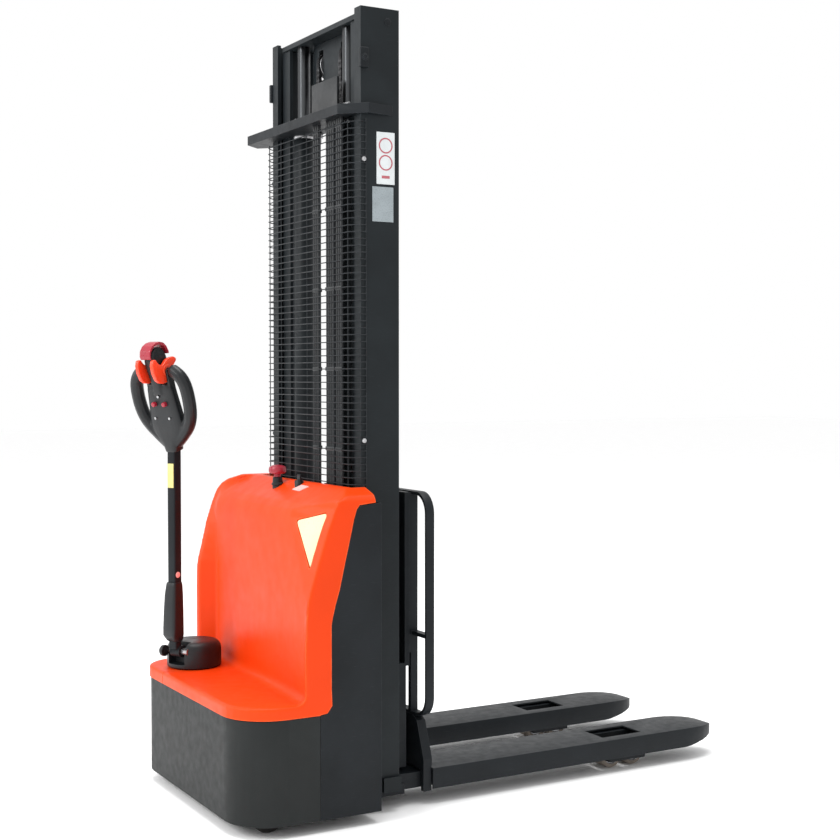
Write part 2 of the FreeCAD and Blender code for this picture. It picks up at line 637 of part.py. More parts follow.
def mast_rollers():
    """Rollers of the mast stages: one pair on the outer mast's top, one on the inner's foot."""
    mid = "(inner_rear + inner_front) / 2"
    for name, z, radius, inside, outside in (
            ("outer_mast_rollers", "2300", "35.7", "inner_web + inner_flange + 2", "inner_out - 2"),
            ("inner_mast_rollers", "150", "51", "mast_half - flange_depth + 1", "mast_half - web - 3")):
        left = ring(name + "_left", "y", "12 + running", radius, (mid, z), inside, outside)
        node(name, group(name, [left, mirror(name + "_right", left)]))


def chains():
    """Leaf chains: a fixed rear fall, a moving front fall, and the anchor bolts."""
    rear, front, anchors = [], [], []
    for i, y in enumerate(("chain_y", "-chain_y")):
        low, high = "%s - chain_wide / 2" % y, "%s + chain_wide / 2" % y
        rear.append(box("chain_rear_%d" % i, ("chain_rear - chain_thick / 2", low, "2098"),
                        ("chain_rear + chain_thick / 2", high, "sheave_z")))
        fall = box("chain_front_%d" % i, ("chain_front - chain_thick / 2", low, "466"),
                   ("chain_front + chain_thick / 2", high, "sheave_z"))
        turn = ring("chain_turn_%d" % i, "y", "35", "45", ("-150", "sheave_z"), low, high)
        upper = box("chain_turn_half_%d" % i, ("-200", low, "sheave_z"), ("-100", high, "sheave_z + 50"))
        front.append(fuse("chain_front_run_%d" % i, [fall, common("chain_wrap_%d" % i, [turn, upper])]))
        bolt = rod("anchor_bolt_%d" % i, "z", "7", ("chain_rear", y), "2030", "bracket_low")
        nut = rod("anchor_nut_%d" % i, "z", "12", ("chain_rear", y), "2048", "bracket_low")
        clevis = box("anchor_clevis_%d" % i, ("chain_rear - 9", low, "bracket_high"),
                     ("chain_rear + 9", high, "2098"))
        anchors += [fuse("anchor_%d" % i, [bolt, nut]), clevis]
    node("rear_chain_falls", group("rear_chain_falls", rear))
    node("front_chain_falls", group("front_chain_falls", front))
    node("chain_anchors", group("chain_anchors", anchors))


# ---------------------------------------------------------------- carriage, forks and legs

def carriage():
    """Roller plates, ties, chain lugs, fork crossplate and load backrest."""
    outline = [("-214", "110"), ("-62", "110"), ("-62", "427"), ("-62", "947"), ("-112", "947"),
               ("-112", "590"), ("-214", "590")]
    web = prism("carriage_web", "y", outline, "198", "207")
    front = box("carriage_strip", ("-66", "198", "418"), ("-50", "254", "947"))
    lower = box("carriage_strip_low", ("-94", "198", "110"), ("-62", "254", "427"))
    stubs = [rod("carriage_stub_%d" % i, "y", "12", ("(inner_rear + inner_front) / 2", z), "207", "237")
             for i, z in enumerate(("160", "545"))]
    left = fuse("carriage_plate_left", [web, front, lower] + stubs)
    right = mirror("carriage_plate_right", left)
    ties = [box("carriage_tie_%d" % i, ("-103", "-198", low), ("-80", "198", high))
            for i, (low, high) in enumerate((("120", "250"), ("400", "452"), ("860", "920")))]
    lugs = [box("chain_lug_%d" % i, ("-118", "%s - 13" % y, "430"), ("-102", "%s + 13" % y, "466"))
            for i, y in enumerate(("chain_y", "-chain_y"))]
    block = box("cross_link", ("-94", "-138", "120"), ("cross_back", "138", "240"))
    node("carriage_plates", fuse("carriage_plates", [left, right, block] + ties + lugs))
    outline = [("-cross_half", "40"), ("cross_half", "40"), ("cross_half", "138"),
               ("263", "cross_top - 12"), ("240", "cross_top"), ("-240", "cross_top"),
               ("-263", "cross_top - 12"), ("-cross_half", "138")]
    plate = prism("cross_outline", "x", outline, "cross_back", "0")
    notches = [box("leg_notch_%d" % i, ("cross_back - 1", low, "39"), ("1", high, "leg_top + 6"))
               for i, (low, high) in enumerate((("leg_in - 5", "leg_out + 5"),
                                                ("-leg_out - 5", "-leg_in + 5")))]
    # the face above the forks stands proud, so a load bears on it clear of the fork heels
    relief = box("heel_relief", ("-heel_step", "-cross_half - 1", "39"),
                 ("1", "cross_half + 1", "fork_top + 6"))
    node("fork_crossplate", cut("fork_crossplate", plate, fuse("crossplate_cuts", notches + [relief])))


def backrest():
    """Loop of flat bar with a cross rail, welded to the crossplate's top."""
    outline = [("-loop_half", "loop_low"), ("loop_half", "loop_low"), ("loop_half", "loop_top"),
               ("-loop_half", "loop_top")]
    outer = prism("loop_outer", "x", outline, "-29", "-1", [((0, 1, 2, 3), "65")])
    inside = [("-loop_half + loop_bar", "loop_low + loop_bar"),
              ("loop_half - loop_bar", "loop_low + loop_bar"),
              ("loop_half - loop_bar", "loop_top - loop_bar"),
              ("-loop_half + loop_bar", "loop_top - loop_bar")]
    inner = prism("loop_inner", "x", inside, "-40", "10", [((0, 1, 2, 3), "55")])
    loop = cut("loop_bar_ring", outer, inner)
    rail = box("loop_rail", ("-26", "-loop_half + 5", "506"), ("-2", "loop_half - 5", "518"))
    posts = [box("loop_post_%d" % i, ("-50", low, "loop_low + 190"), ("-29", high, "loop_low + 680"))
             for i, (low, high) in enumerate((("208", "226"), ("-226", "-208")))]
    bars = [box("loop_upright_%d" % i, ("-29", low, "loop_low + 4"), ("-5", high, "loop_top - 4"))
            for i, (low, high) in enumerate((("208", "226"), ("-226", "-208")))]
    node("load_backrest", fuse("load_backrest", [loop, rail] + posts + bars))


def forks():
    """Inverted channel forks with a nose and an opening over the load wheels."""
    top = [("-heel_step", "fork_low"), ("1003", "fork_low"), ("1075", "80"), ("1138", "78"),
           ("fork_tip", "84"),
           ("1140", "92"), ("1020", "fork_top"), ("-heel_step", "fork_top")]
    outer = prism("fork_body", "y", top, "fork_in", "fork_out")
    inside = [("-heel_step - 1", "fork_low - 5"), ("1000", "fork_low - 5"), ("1000", "60"), ("1060", "84"),
              ("1015", "fork_top - fork_skin"), ("-heel_step - 1", "fork_top - fork_skin")]
    inner = prism("fork_hollow", "y", inside, "fork_in + fork_skin", "fork_out - fork_skin")
    window = box("fork_window", ("670", "176", "90"), ("828", "277", "130"))
    taper = [("980", "fork_in - 10"), ("fork_tip + 10", "fork_in - 10"), ("fork_tip + 10", "176")]
    taper_out = [("980", "fork_out + 10"), ("fork_tip + 10", "266"), ("fork_tip + 10", "fork_out + 10")]
    nose = [prism("fork_taper_in", "z", taper, "0", "200"),
            prism("fork_taper_out", "z", taper_out, "0", "200")]
    shaped = cut("fork_shaped", outer, fuse("fork_cuts", [inner, window] + nose))
    inside_edge = box("fork_nose_web", ("1052", "fork_in + 16", "82"), ("1062", "fork_out - 16", "100"))
    left = fuse("fork_left", [shaped, inside_edge])
    node("fork_left", left)
    node("fork_right", mirror("fork_right", left))


def support_legs():
    """Fixed legs inside the forks, with two load wheels each on plain axles."""
    beam = box("leg_beam", ("mast_front + 1", "leg_in", "leg_low"), ("leg_tip", "leg_out", "leg_top"))
    root = box("leg_root", ("mast_rear + flange + 2", "leg_in + 6", "leg_low - 10"),
               ("mast_front + 1", "leg_out + 8", "mast_low"))
    knee = box("leg_knee", ("mast_front + 1", "leg_in + 6", "leg_low - 10"),
               ("mast_front + 30", "leg_out + 8", "leg_low + 20"))
    pocket = box("leg_pocket", ("load_back - 48", "load_y - load_half - 4", "leg_low - 1"),
                 ("load_front + 48", "load_y + load_half + 4", "leg_top + 1"))
    cheeks = [box("leg_cheek_%d" % i, ("load_back - 30", low, "28"), ("load_front + 30", high, "60"))
              for i, (low, high) in enumerate((("leg_in", "load_y - load_half - 4"),
                                               ("load_y + load_half + 4", "leg_out")))]
    axles = [rod("load_axle_%d" % i, "y", "axle_r", (x, "load_r"), "leg_in", "leg_out")
             for i, x in enumerate(("load_back", "load_front"))]
    left = fuse("support_leg_left", [cut("leg_open", beam, pocket), root, knee] + cheeks + axles)
    node("support_leg_left", left)
    node("support_leg_right", mirror("support_leg_right", left))
    for place in ("back", "front"):
        wheel = ring("load_wheel_left_" + place, "y", "axle_r + running", "load_r",
                     ("load_" + place, "load_r"),
                     "load_y - load_half", "load_y + load_half")
        node("load_wheel_left_" + place, wheel)
        node("load_wheel_right_" + place, mirror("load_wheel_right_" + place, wheel))


def carriage_rollers():
    for name, z in (("carriage_rollers_lower", "160"), ("carriage_rollers_upper", "545")):
        left = ring(name + "_left", "y", "12 + running", "35.7", ("(inner_rear + inner_front) / 2", z),
                    "inner_in + 1", "inner_web - 2")
        node(name, group(name, [left, mirror(name + "_right", left)]))


# ---------------------------------------------------------------- tiller

def tiller():
    """Round base that turns on the steering axis, arm that tilts on its pin, and the boot."""
    centre = ("steer_x", "steer_y")
    neck = rod("base_neck", "z", "44", centre, "352", "deck_top + 6")
    drum = rod("base_drum", "z", "base_r", centre, "deck_top + 2", "456")
    slot = box("base_slot", ("-640", "steer_y - 34", "388"), ("-582", "steer_y + 34", "470"))
    lug = rod("base_lug", "y", "18", ("-628", "pivot_z"), "steer_y + 34", "steer_y + 46")
    pin = rod("tilt_pin", "y", "pin_r", ("pivot_x", "pivot_z"), "steer_y - 45", "steer_y + 45")
    node("tiller_base", fuse("tiller_base", [neck, cut("base_slotted", drum, slot), lug, pin]))
    knuckle = rod("arm_knuckle", "y", "19", ("pivot_x", "pivot_z"), "steer_y - 32", "steer_y + 32")
    root = box("arm_root", ("arm_x - 14", "steer_y - 24", "pivot_z"), ("arm_x + 14", "steer_y + 24", "480"))
    tube = box("arm_tube", ("arm_x - arm_half", "steer_y - arm_half", "470"),
               ("arm_x + arm_half", "steer_y + arm_half", "1085"))
    bore = rod("arm_bore", "y", "pin_r + running", ("pivot_x", "pivot_z"), "steer_y - 40", "steer_y + 40")
    node("tiller_tube", cut("tiller_tube", fuse("arm_solid", [knuckle, root, tube]), bore))
    lower = [("arm_x - 20", "464"), ("arm_x + 18", "464"), ("arm_x + 18", "650"), ("arm_x - 22", "650"),
             ("arm_x - 29", "600"), ("arm_x - 32", "500"), ("arm_x - 32", "482")]
    boot = prism("boot_outer", "y", lower, "steer_y - 27", "steer_y + 27")
    hollow = fuse("boot_hollow", [
        box("boot_slot", ("arm_x - arm_half", "steer_y - arm_half", "470"),
            ("arm_x + arm_half", "steer_y + arm_half", "700")),
        box("boot_root", ("arm_x - 14", "steer_y - 24", "450"), ("arm_x + 14", "steer_y + 24", "480")),
        rod("boot_knuckle", "y", "22", ("pivot_x", "pivot_z"), "steer_y - 40", "steer_y + 40")])
    node("tiller_boot", cut("tiller_boot", boot, hollow))


def leaned(shape):
    """Moves a shape from the head's own frame to its place on the arm."""
    middle = FreeCAD.Vector(size("head_x"), size("steer_y"), size("head_z"))
    shape = shape.copy()
    lean = FreeCAD.Rotation(FreeCAD.Vector(0, 1, 0), HEAD_LEAN)
    shape.Placement = FreeCAD.Placement(middle, lean).multiply(shape.Placement)
    return shape


# head sizes, in its own frame: back to front, side to side, along the arm
HEAD_LEAN = -16
BODY_DEEP = 22
BODY_HALF = 42
CORE_HALF = 21
NECK_HALF = 25
GRIP_DEEP = 17
BUTTON_R = 8
BUTTON_Y = 22
BUTTON_Z = -20
BUTTON_LENGTH = 15
BUTTON_SEAT = 5.5
POCKET_DEEP = 10
HOUSING_R = 34
CAP_R = 40
CAP_SKIN = 5
CAP_Z = 132
CAP_LOW = 128
BOSS_R = 9
HUB_R = 17
LEVER_AXIS = (4, 82)
LEVER_SIDE = (25, 39)
LEVER = [(-51, 125), (-54, 89), (-48, 63), (-31, 50), (0, 50), (4, 66), (20, 84), (48, 104),
         (38, 116), (12, 117), (-9, 105), (-35, 124)]


def plate_of(points, depth):
    """Plate in the head's frame: points across and up, as thick as depth each way."""
    return Part.Face(ring_of([(-depth, y, z) for y, z in points])).extrude(FreeCAD.Vector(2 * depth, 0, 0))


def cross_bar(radius, low, high, spot):
    """Round bar across the head."""
    start = FreeCAD.Vector(spot[0], low, spot[1])
    return Part.makeCylinder(radius, high - low, start, FreeCAD.Vector(0, 1, 0))


def head_block(depth, half, low, high):
    """Block centred on the head, between two heights."""
    return Part.makeBox(2 * depth, 2 * half, high - low, FreeCAD.Vector(-depth, -half, low))


def button(radius, front, length, y):
    """Round button on the head's rear face."""
    return Part.makeCylinder(radius, length, FreeCAD.Vector(front, y, BUTTON_Z), FreeCAD.Vector(-1, 0, 0))


def tiller_head():
    """Flat body with a grip loop each side and a housing for the levers on top."""
    half = size("head_half")
    loop = [(20, -150), (70, -128), (half - 24, -84), (half, -22), (half, 22), (half - 12, 58),
            (half - 38, 84), (70, 98), (BODY_HALF - 0.5, 98), (BODY_HALF - 0.5, 20), (20, 20)]
    gap = [(46, -52), (62, -62), (half - 46, -44), (half - 38, -8), (half - 38, 16), (half - 46, 40),
           (66, 56), (46, 60)]
    solids = [head_block(BODY_DEEP, CORE_HALF, 10, 110), head_block(BODY_DEEP, NECK_HALF, -178, -108),
              cross_bar(HOUSING_R, -CORE_HALF, CORE_HALF, (0, 112)), cross_bar(BOSS_R, -60, 60, LEVER_AXIS)]
    for side in (-1, 1):
        outer, inner = [plate_of([(side * y, z) for y, z in points], depth)
                        for points, depth in ((loop, GRIP_DEEP), (gap, 2 * GRIP_DEEP))]
        solids.append(outer.cut(inner))
    spine = head_block(BODY_DEEP, BODY_HALF, -118, 20)
    pockets = [button(BUTTON_R + 0.3, POCKET_DEEP - BODY_DEEP, POCKET_DEEP + 1, y)
               for y in (-BUTTON_Y, BUTTON_Y)]
    arm = 2 * size("arm_half")
    corner = FreeCAD.Vector(size("arm_x") - arm / 2, size("steer_y") - arm / 2, 1025)
    socket = Part.makeBox(arm, arm, 60, corner)
    head = doc.addObject("Part::Feature", "tiller_head")
    head.Shape = leaned(spine.fuse(solids).cut(pockets)).cut(socket)
    node("tiller_head", head)


def head_controls():
    """Red reverse button over the head's top, thumb levers, horn and lift buttons."""
    shell = cross_bar(CAP_R, -CORE_HALF, CORE_HALF, (0, CAP_Z))
    hollow = cross_bar(CAP_R - CAP_SKIN, -CAP_R, CAP_R, (0, CAP_Z))
    under = head_block(2 * CAP_R, 2 * CAP_R, CAP_LOW - 2 * CAP_R, CAP_LOW)
    pieces = {"reverse_button": shell.cut([hollow, under])}
    levers = []
    for side in (-1, 1):
        low, high = sorted(side * y for y in LEVER_SIDE)
        wing = Part.Face(ring_of([(x, low, z) for x, z in LEVER])).extrude(FreeCAD.Vector(0, high - low, 0))
        hub = cross_bar(HUB_R, low, high, LEVER_AXIS)
        bore = cross_bar(BOSS_R + size("running"), low - 1, high + 1, LEVER_AXIS)
        levers.append(wing.fuse(hub).cut(bore))
    pieces["thumb_levers"] = Part.makeCompound(levers)
    for name, y in (("horn_button", BUTTON_Y), ("lift_button", -BUTTON_Y)):
        pieces[name] = button(BUTTON_R, BUTTON_SEAT - BODY_DEEP, BUTTON_LENGTH, y)
    for name, shape in pieces.items():
        feature = doc.addObject("Part::Feature", name)
        feature.Shape = leaned(shape)
        node(name, feature)


STEERED = ("drive_gearbox", "drive_motor", "drive_wheel", "tiller_base", "tiller_boot", "tiller_tube",
           "tiller_head", "thumb_levers", "reverse_button", "horn_button", "lift_button")


def at_rest(name, shape):
    """The steered parts stand turned about the steering axis, as a truck is left."""
    if name in STEERED:
        shape = shape.copy()
        axis = FreeCAD.Vector(size("steer_x"), size("steer_y"), 0)
        shape.rotate(axis, FreeCAD.Vector(0, 0, 1), size("steer_rest"))
    return shape


rear_skirt()
side_panels()
main_cover()
estop_and_key()
chassis_frame()
machinery()
drive_unit()
caster()
outer_mast()
upper_crossmember()
cylinders()
mesh_guard()
fasteners()
inner_mast()
mast_rollers()
chains()
carriage()
carriage_rollers()
backrest()
forks()
support_legs()
tiller()
tiller_head()
head_controls()
doc.recompute()

# ---------------------------------------------------------------- checks and files

faults = [obj.Name for obj in doc.Objects if "Invalid" in obj.State or "Error" in obj.State]
for name, obj in NODES.items():
    shape = obj.Shape
    if shape.isNull() or not shape.isValid() or not shape.Solids:
        faults.append(name)
if faults:
    raise SystemExit("failed: " + ", ".join(faults))

os.makedirs("parts", exist_ok=True)
for name, obj in NODES.items():
    at_rest(name, obj.Shape).exportStep("parts/%s.step" % name)
print(len(NODES), "nodes written")
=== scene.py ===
import json
import math

import bmesh
import bpy
import numpy as np
from mathutils import Matrix, Vector

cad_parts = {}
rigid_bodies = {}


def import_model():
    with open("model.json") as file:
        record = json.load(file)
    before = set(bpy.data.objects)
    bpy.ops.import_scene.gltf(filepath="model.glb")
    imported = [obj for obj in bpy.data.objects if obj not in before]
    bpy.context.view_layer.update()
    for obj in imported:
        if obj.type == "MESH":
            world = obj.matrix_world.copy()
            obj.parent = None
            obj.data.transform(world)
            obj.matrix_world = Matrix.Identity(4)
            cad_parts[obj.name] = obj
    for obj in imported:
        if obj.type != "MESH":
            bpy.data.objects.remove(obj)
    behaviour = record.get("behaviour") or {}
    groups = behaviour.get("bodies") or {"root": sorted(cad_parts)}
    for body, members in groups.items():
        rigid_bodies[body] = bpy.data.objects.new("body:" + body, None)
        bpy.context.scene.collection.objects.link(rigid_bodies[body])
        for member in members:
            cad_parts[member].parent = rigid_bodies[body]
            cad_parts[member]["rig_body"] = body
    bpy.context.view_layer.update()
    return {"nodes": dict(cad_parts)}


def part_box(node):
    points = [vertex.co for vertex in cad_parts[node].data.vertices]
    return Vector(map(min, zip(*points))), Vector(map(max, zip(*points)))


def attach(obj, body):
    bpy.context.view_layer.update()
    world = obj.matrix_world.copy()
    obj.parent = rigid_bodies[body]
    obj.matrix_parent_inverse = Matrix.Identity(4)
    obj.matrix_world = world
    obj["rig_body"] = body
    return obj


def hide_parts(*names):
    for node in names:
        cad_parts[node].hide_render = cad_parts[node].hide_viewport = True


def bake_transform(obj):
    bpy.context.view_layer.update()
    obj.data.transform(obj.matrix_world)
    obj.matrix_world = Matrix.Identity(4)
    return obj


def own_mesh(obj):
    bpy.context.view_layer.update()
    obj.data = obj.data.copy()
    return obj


# Walkie stacker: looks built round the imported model. Shapes are written in millimetres in the
# truck's own frame (+X along the forks, +Y to its left, +Z up) and turned into metres by MM.

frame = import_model()
NODES = frame["nodes"]
MM = 0.001


def corners(node):
    """A CAD node's lowest and highest corner in millimetres."""
    low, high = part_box(node)
    return low / MM, high / MM


SKIRT_LOW, SKIRT_HIGH = corners("rear_skirt")
COVER_LOW, COVER_HIGH = corners("main_cover")
RIGHT, LEFT = COVER_LOW.y, COVER_HIGH.y
DECK_REAR = COVER_LOW.x
SEAM_Z = SKIRT_HIGH.z


# ---------------------------------------------------------------- materials

def surface(name, colour, roughness, metallic=0.0, tone=0.12, tone_scale=5.0, grain=400.0, bump=0.15,
            wear=None, wear_radius=0.003, coat=0.0, scratches=0.0, specular=0.16):
    """A painted, moulded or bare surface: drifting tone, uneven gloss, fine grain and worn edges."""
    material = bpy.data.materials.new(name)
    material.use_nodes = True
    tree = material.node_tree
    links = tree.links
    shader = tree.nodes["Principled BSDF"]
    shader.inputs["Metallic"].default_value = metallic
    shader.inputs["Coat Weight"].default_value = coat
    shader.inputs["Coat Roughness"].default_value = 0.12
    shader.inputs["Specular IOR Level"].default_value = specular
    place = tree.nodes.new("ShaderNodeTexCoord")

    def noise(scale, detail=4.0, stretch=None):
        texture = tree.nodes.new("ShaderNodeTexNoise")
        texture.inputs["Scale"].default_value = scale
        texture.inputs["Detail"].default_value = detail
        if stretch:
            mapping = tree.nodes.new("ShaderNodeMapping")
            mapping.inputs["Scale"].default_value = stretch
            links.new(place.outputs["Object"], mapping.inputs["Vector"])
            links.new(mapping.outputs["Vector"], texture.inputs["Vector"])
        else:
            links.new(place.outputs["Object"], texture.inputs["Vector"])
        return texture.outputs["Fac"]

    def spread(value, low, high, out_low, out_high):
        node = tree.nodes.new("ShaderNodeMapRange")
        sockets = ("From Min", "From Max", "To Min", "To Max")
        for socket, number in zip(sockets, (low, high, out_low, out_high)):
            node.inputs[socket].default_value = number
        links.new(value, node.inputs["Value"])
        return node.outputs["Result"]

    def mix(factor, first, second):
        node = tree.nodes.new("ShaderNodeMix")
        node.data_type = "RGBA"
        links.new(factor, node.inputs["Factor"])
        for socket, value in ((node.inputs[6], first), (node.inputs[7], second)):
            if isinstance(value, tuple):
                socket.default_value = value
            else:
                links.new(value, socket)
        return node.outputs[2]

    dark = tuple(c * (1 - tone) for c in colour) + (1.0,)
    light = tuple(min(1.0, c * (1 + tone)) for c in colour) + (1.0,)
    drift = spread(noise(tone_scale), 0.35, 0.65, 0.0, 1.0)
    shade = mix(drift, dark, light)
    rough = spread(noise(tone_scale * 7), 0.3, 0.7, roughness - 0.06, roughness + 0.06)
    if scratches:
        lines = spread(noise(30.0, 6.0, (1.0, 14.0, 14.0)), 0.62, 0.72, 0.0, scratches)
        shade = mix(lines, shade, tuple(min(1.0, c * 3 + 0.03) for c in colour) + (1.0,))
    if wear:
        rounded = tree.nodes.new("ShaderNodeBevel")
        rounded.samples = 4
        rounded.inputs["Radius"].default_value = wear_radius
        geometry = tree.nodes.new("ShaderNodeNewGeometry")
        agree = tree.nodes.new("ShaderNodeVectorMath")
        agree.operation = "DOT_PRODUCT"
        links.new(rounded.outputs["Normal"], agree.inputs[0])
        links.new(geometry.outputs["Normal"], agree.inputs[1])
        edge = spread(agree.outputs["Value"], 0.98, 0.86, 0.0, 1.0)
        patchy = tree.nodes.new("ShaderNodeMath")
        patchy.operation = "MULTIPLY"
        links.new(edge, patchy.inputs[0])
        links.new(spread(noise(40.0), 0.35, 0.6, 0.35, 1.0), patchy.inputs[1])
        shade = mix(patchy.outputs["Value"], shade, wear + (1.0,))
    links.new(shade, shader.inputs["Base Color"])
    links.new(rough, shader.inputs["Roughness"])
    relief = tree.nodes.new("ShaderNodeBump")
    relief.inputs["Strength"].default_value = bump
    relief.inputs["Distance"].default_value = 0.0006
    links.new(noise(grain, 2.0), relief.inputs["Height"])
    links.new(relief.outputs["Normal"], shader.inputs["Normal"])
    return material


MATERIALS = {
    "orange_cover": surface("moulded_orange", (0.72, 0.048, 0.003), 0.4, tone=0.05, tone_scale=3.0,
                            grain=260.0,
                            bump=0.05, wear=(0.9, 0.13, 0.03), wear_radius=0.006, specular=0.14),
    "mast_paint": surface("mast_powder_coat", (0.0105, 0.0135, 0.0155), 0.42, tone=0.18, grain=900.0,
                          bump=0.2,
                          wear=(0.03, 0.036, 0.04), scratches=0.12),
    "black_paint": surface("frame_powder_coat", (0.0085, 0.0105, 0.0125), 0.45, tone=0.2, grain=800.0,
                           bump=0.25,
                           wear=(0.032, 0.036, 0.04), scratches=0.15),
    "dark_plastic": surface("grained_cover_plastic", (0.0155, 0.0175, 0.0175), 0.5, tone=0.08, grain=2200.0,
                            bump=0.18, wear=(0.032, 0.036, 0.037)),
    "black_plastic": surface("moulded_black", (0.0075, 0.009, 0.0105), 0.38, tone=0.2, grain=1600.0, bump=0.2,
                             wear=(0.024, 0.027, 0.03), specular=0.35),
    "red_plastic": surface("moulded_red", (0.3, 0.012, 0.028), 0.32, tone=0.1, tone_scale=14.0, grain=900.0,
                           bump=0.05, wear=(0.6, 0.08, 0.11), wear_radius=0.002, specular=0.5),
    "lever_plastic": surface("moulded_lever_orange", (0.84, 0.05, 0.012), 0.34, tone=0.08, tone_scale=14.0,
                             grain=900.0, bump=0.06, wear=(0.95, 0.18, 0.08), wear_radius=0.002,
                             specular=0.5),
    "lens": surface("cream_diffuser", (0.66, 0.6, 0.34), 0.3, tone=0.03, tone_scale=20.0, grain=700.0,
                    bump=0.25,
                    specular=0.4),
    "bright_steel": surface("zinc_plated_steel", (0.42, 0.42, 0.43), 0.34, metallic=1.0, tone=0.15,
                            tone_scale=30.0, grain=600.0, bump=0.12, wear=(0.6, 0.6, 0.61),
                            wear_radius=0.001),
    "chrome": surface("hard_chrome", (0.06, 0.063, 0.066), 0.36, metallic=1.0, tone=0.06, grain=1500.0,
                      bump=0.04),
    "chain_steel": surface("oiled_chain_steel", (0.05, 0.05, 0.053), 0.38, metallic=0.85, tone=0.35,
                           tone_scale=60.0, grain=500.0, bump=0.15, wear=(0.22, 0.22, 0.22),
                           wear_radius=0.001),
    "polyurethane": surface("cast_polyurethane", (0.02, 0.019, 0.018), 0.48, tone=0.25, tone_scale=25.0,
                            grain=350.0, bump=0.4, scratches=0.25),
    "cast_metal": surface("painted_casting", (0.035, 0.036, 0.04), 0.55, tone=0.2, grain=220.0, bump=0.6,
                          wear=(0.1, 0.1, 0.1)),
    "battery_case": surface("battery_case_plastic", (0.025, 0.025, 0.028), 0.5, tone=0.15, grain=700.0,
                            bump=0.3,
                            wear=(0.06, 0.06, 0.06)),
}
PALE_TYRE = surface("load_roller_polyurethane", (0.2, 0.17, 0.145), 0.5, tone=0.15, tone_scale=25.0,
                    grain=350.0,
                    bump=0.3, scratches=0.2)
WHITE_PLATE = surface("printed_plate", (0.62, 0.65, 0.66), 0.35, tone=0.05, tone_scale=30.0, grain=900.0,
                      bump=0.05)
GREY_PLATE = surface("data_plate", (0.3, 0.34, 0.36), 0.3, metallic=0.3, tone=0.06, tone_scale=30.0,
                     grain=1200.0, bump=0.1)
PALE_RED = surface("plate_marking", (0.42, 0.12, 0.14), 0.4, tone=0.06, tone_scale=30.0, grain=900.0,
                   bump=0.05)
YELLOW_PLATE = surface("yellow_plate", (0.62, 0.56, 0.22), 0.4, tone=0.08, tone_scale=40.0, grain=900.0,
                       bump=0.05)
PINK_PLATE = surface("pale_label", (0.85, 0.42, 0.4), 0.4, tone=0.06, tone_scale=60.0, grain=900.0, bump=0.05)


# ---------------------------------------------------------------- mesh helpers

def made(name, points, faces):
    """A new object from points in millimetres."""
    mesh = bpy.data.meshes.new(name)
    mesh.from_pydata([Vector(p) * MM for p in points], [], faces)
    obj = bpy.data.objects.new(name, mesh)
    bpy.context.scene.collection.objects.link(obj)
    return obj


def closed(obj):
    """Turns all faces outwards."""
    shape = bmesh.new()
    shape.from_mesh(obj.data)
    bmesh.ops.remove_doubles(shape, verts=shape.verts, dist=1e-6)
    bmesh.ops.recalc_face_normals(shape, faces=shape.faces)
    shape.to_mesh(obj.data)
    shape.free()
    return obj


def loft(name, rings):
    """A closed solid through rings with the same number of points."""
    count = len(rings[0])
    points = [p for ring in rings for p in ring]
    faces = []
    for i in range(len(rings) - 1):
        for j in range(count):
            k = (j + 1) % count
            faces.append((i * count + j, i * count + k, (i + 1) * count + k, (i + 1) * count + j))
    faces.append(tuple(range(count))[::-1])
    faces.append(tuple((len(rings) - 1) * count + j for j in range(count)))
    return closed(made(name, points, faces))


ORDER = {"x": (2, 0, 1), "y": (0, 2, 1), "z": (0, 1, 2)}


def prism(name, axis, outline, low, high):
    """An outline in the other two coordinates, in order, run along one axis."""
    order = ORDER[axis]
    rings = [[tuple((u, v, level)[k] for k in order) for u, v in outline] for level in (low, high)]
    return loft(name, rings)


def block(name, low, high):
    outline = [(low[0], low[1]), (high[0], low[1]), (high[0], high[1]), (low[0], high[1])]
    return prism(name, "z", outline, low[2], high[2])


def lathe(name, profile, axis="y", centre=(0, 0, 0), segments=48):
    """A closed profile of (radius, height) points turned about an axis."""
    points, faces, count = [], [], len(profile)
    for i in range(segments):
        angle = math.tau * i / segments
        for radius, height in profile:
            flat = (radius * math.cos(angle), radius * math.sin(angle), height)
            local = {"z": flat, "y": (flat[0], flat[2], flat[1]), "x": (flat[2], flat[0], flat[1])}[axis]
            points.append(tuple(a + b for a, b in zip(local, centre)))
    for i in range(segments):
        for j in range(count):
            a, b = i * count, ((i + 1) % segments) * count
            k = (j + 1) % count
            faces.append((a + j, b + j, b + k, a + k))
    return closed(made(name, points, faces))


def tube(name, runs, radius, sides=8, squash=1.0):
    """Round bar along each list of points, as one mesh."""
    curve = bpy.data.curves.new(name, "CURVE")
    curve.dimensions = "3D"
    curve.bevel_depth = radius * MM
    curve.bevel_resolution = max(0, sides // 4 - 1)
    curve.use_fill_caps = True
    for run in runs:
        spline = curve.splines.new("POLY")
        spline.points.add(len(run) - 1)
        for spot, point in zip(spline.points, run):
            spot.co = (*(Vector(point) * MM), 1.0)
    source = bpy.data.objects.new(name, curve)
    bpy.context.scene.collection.objects.link(source)
    mesh = bpy.data.meshes.new_from_object(source.evaluated_get(bpy.context.evaluated_depsgraph_get()))
    bpy.data.objects.remove(source)
    obj = bpy.data.objects.new(name, mesh)
    bpy.context.scene.collection.objects.link(obj)
    if squash != 1.0:
        obj.data.transform(Matrix.Diagonal((squash, 1.0, 1.0, 1.0)))
    return obj


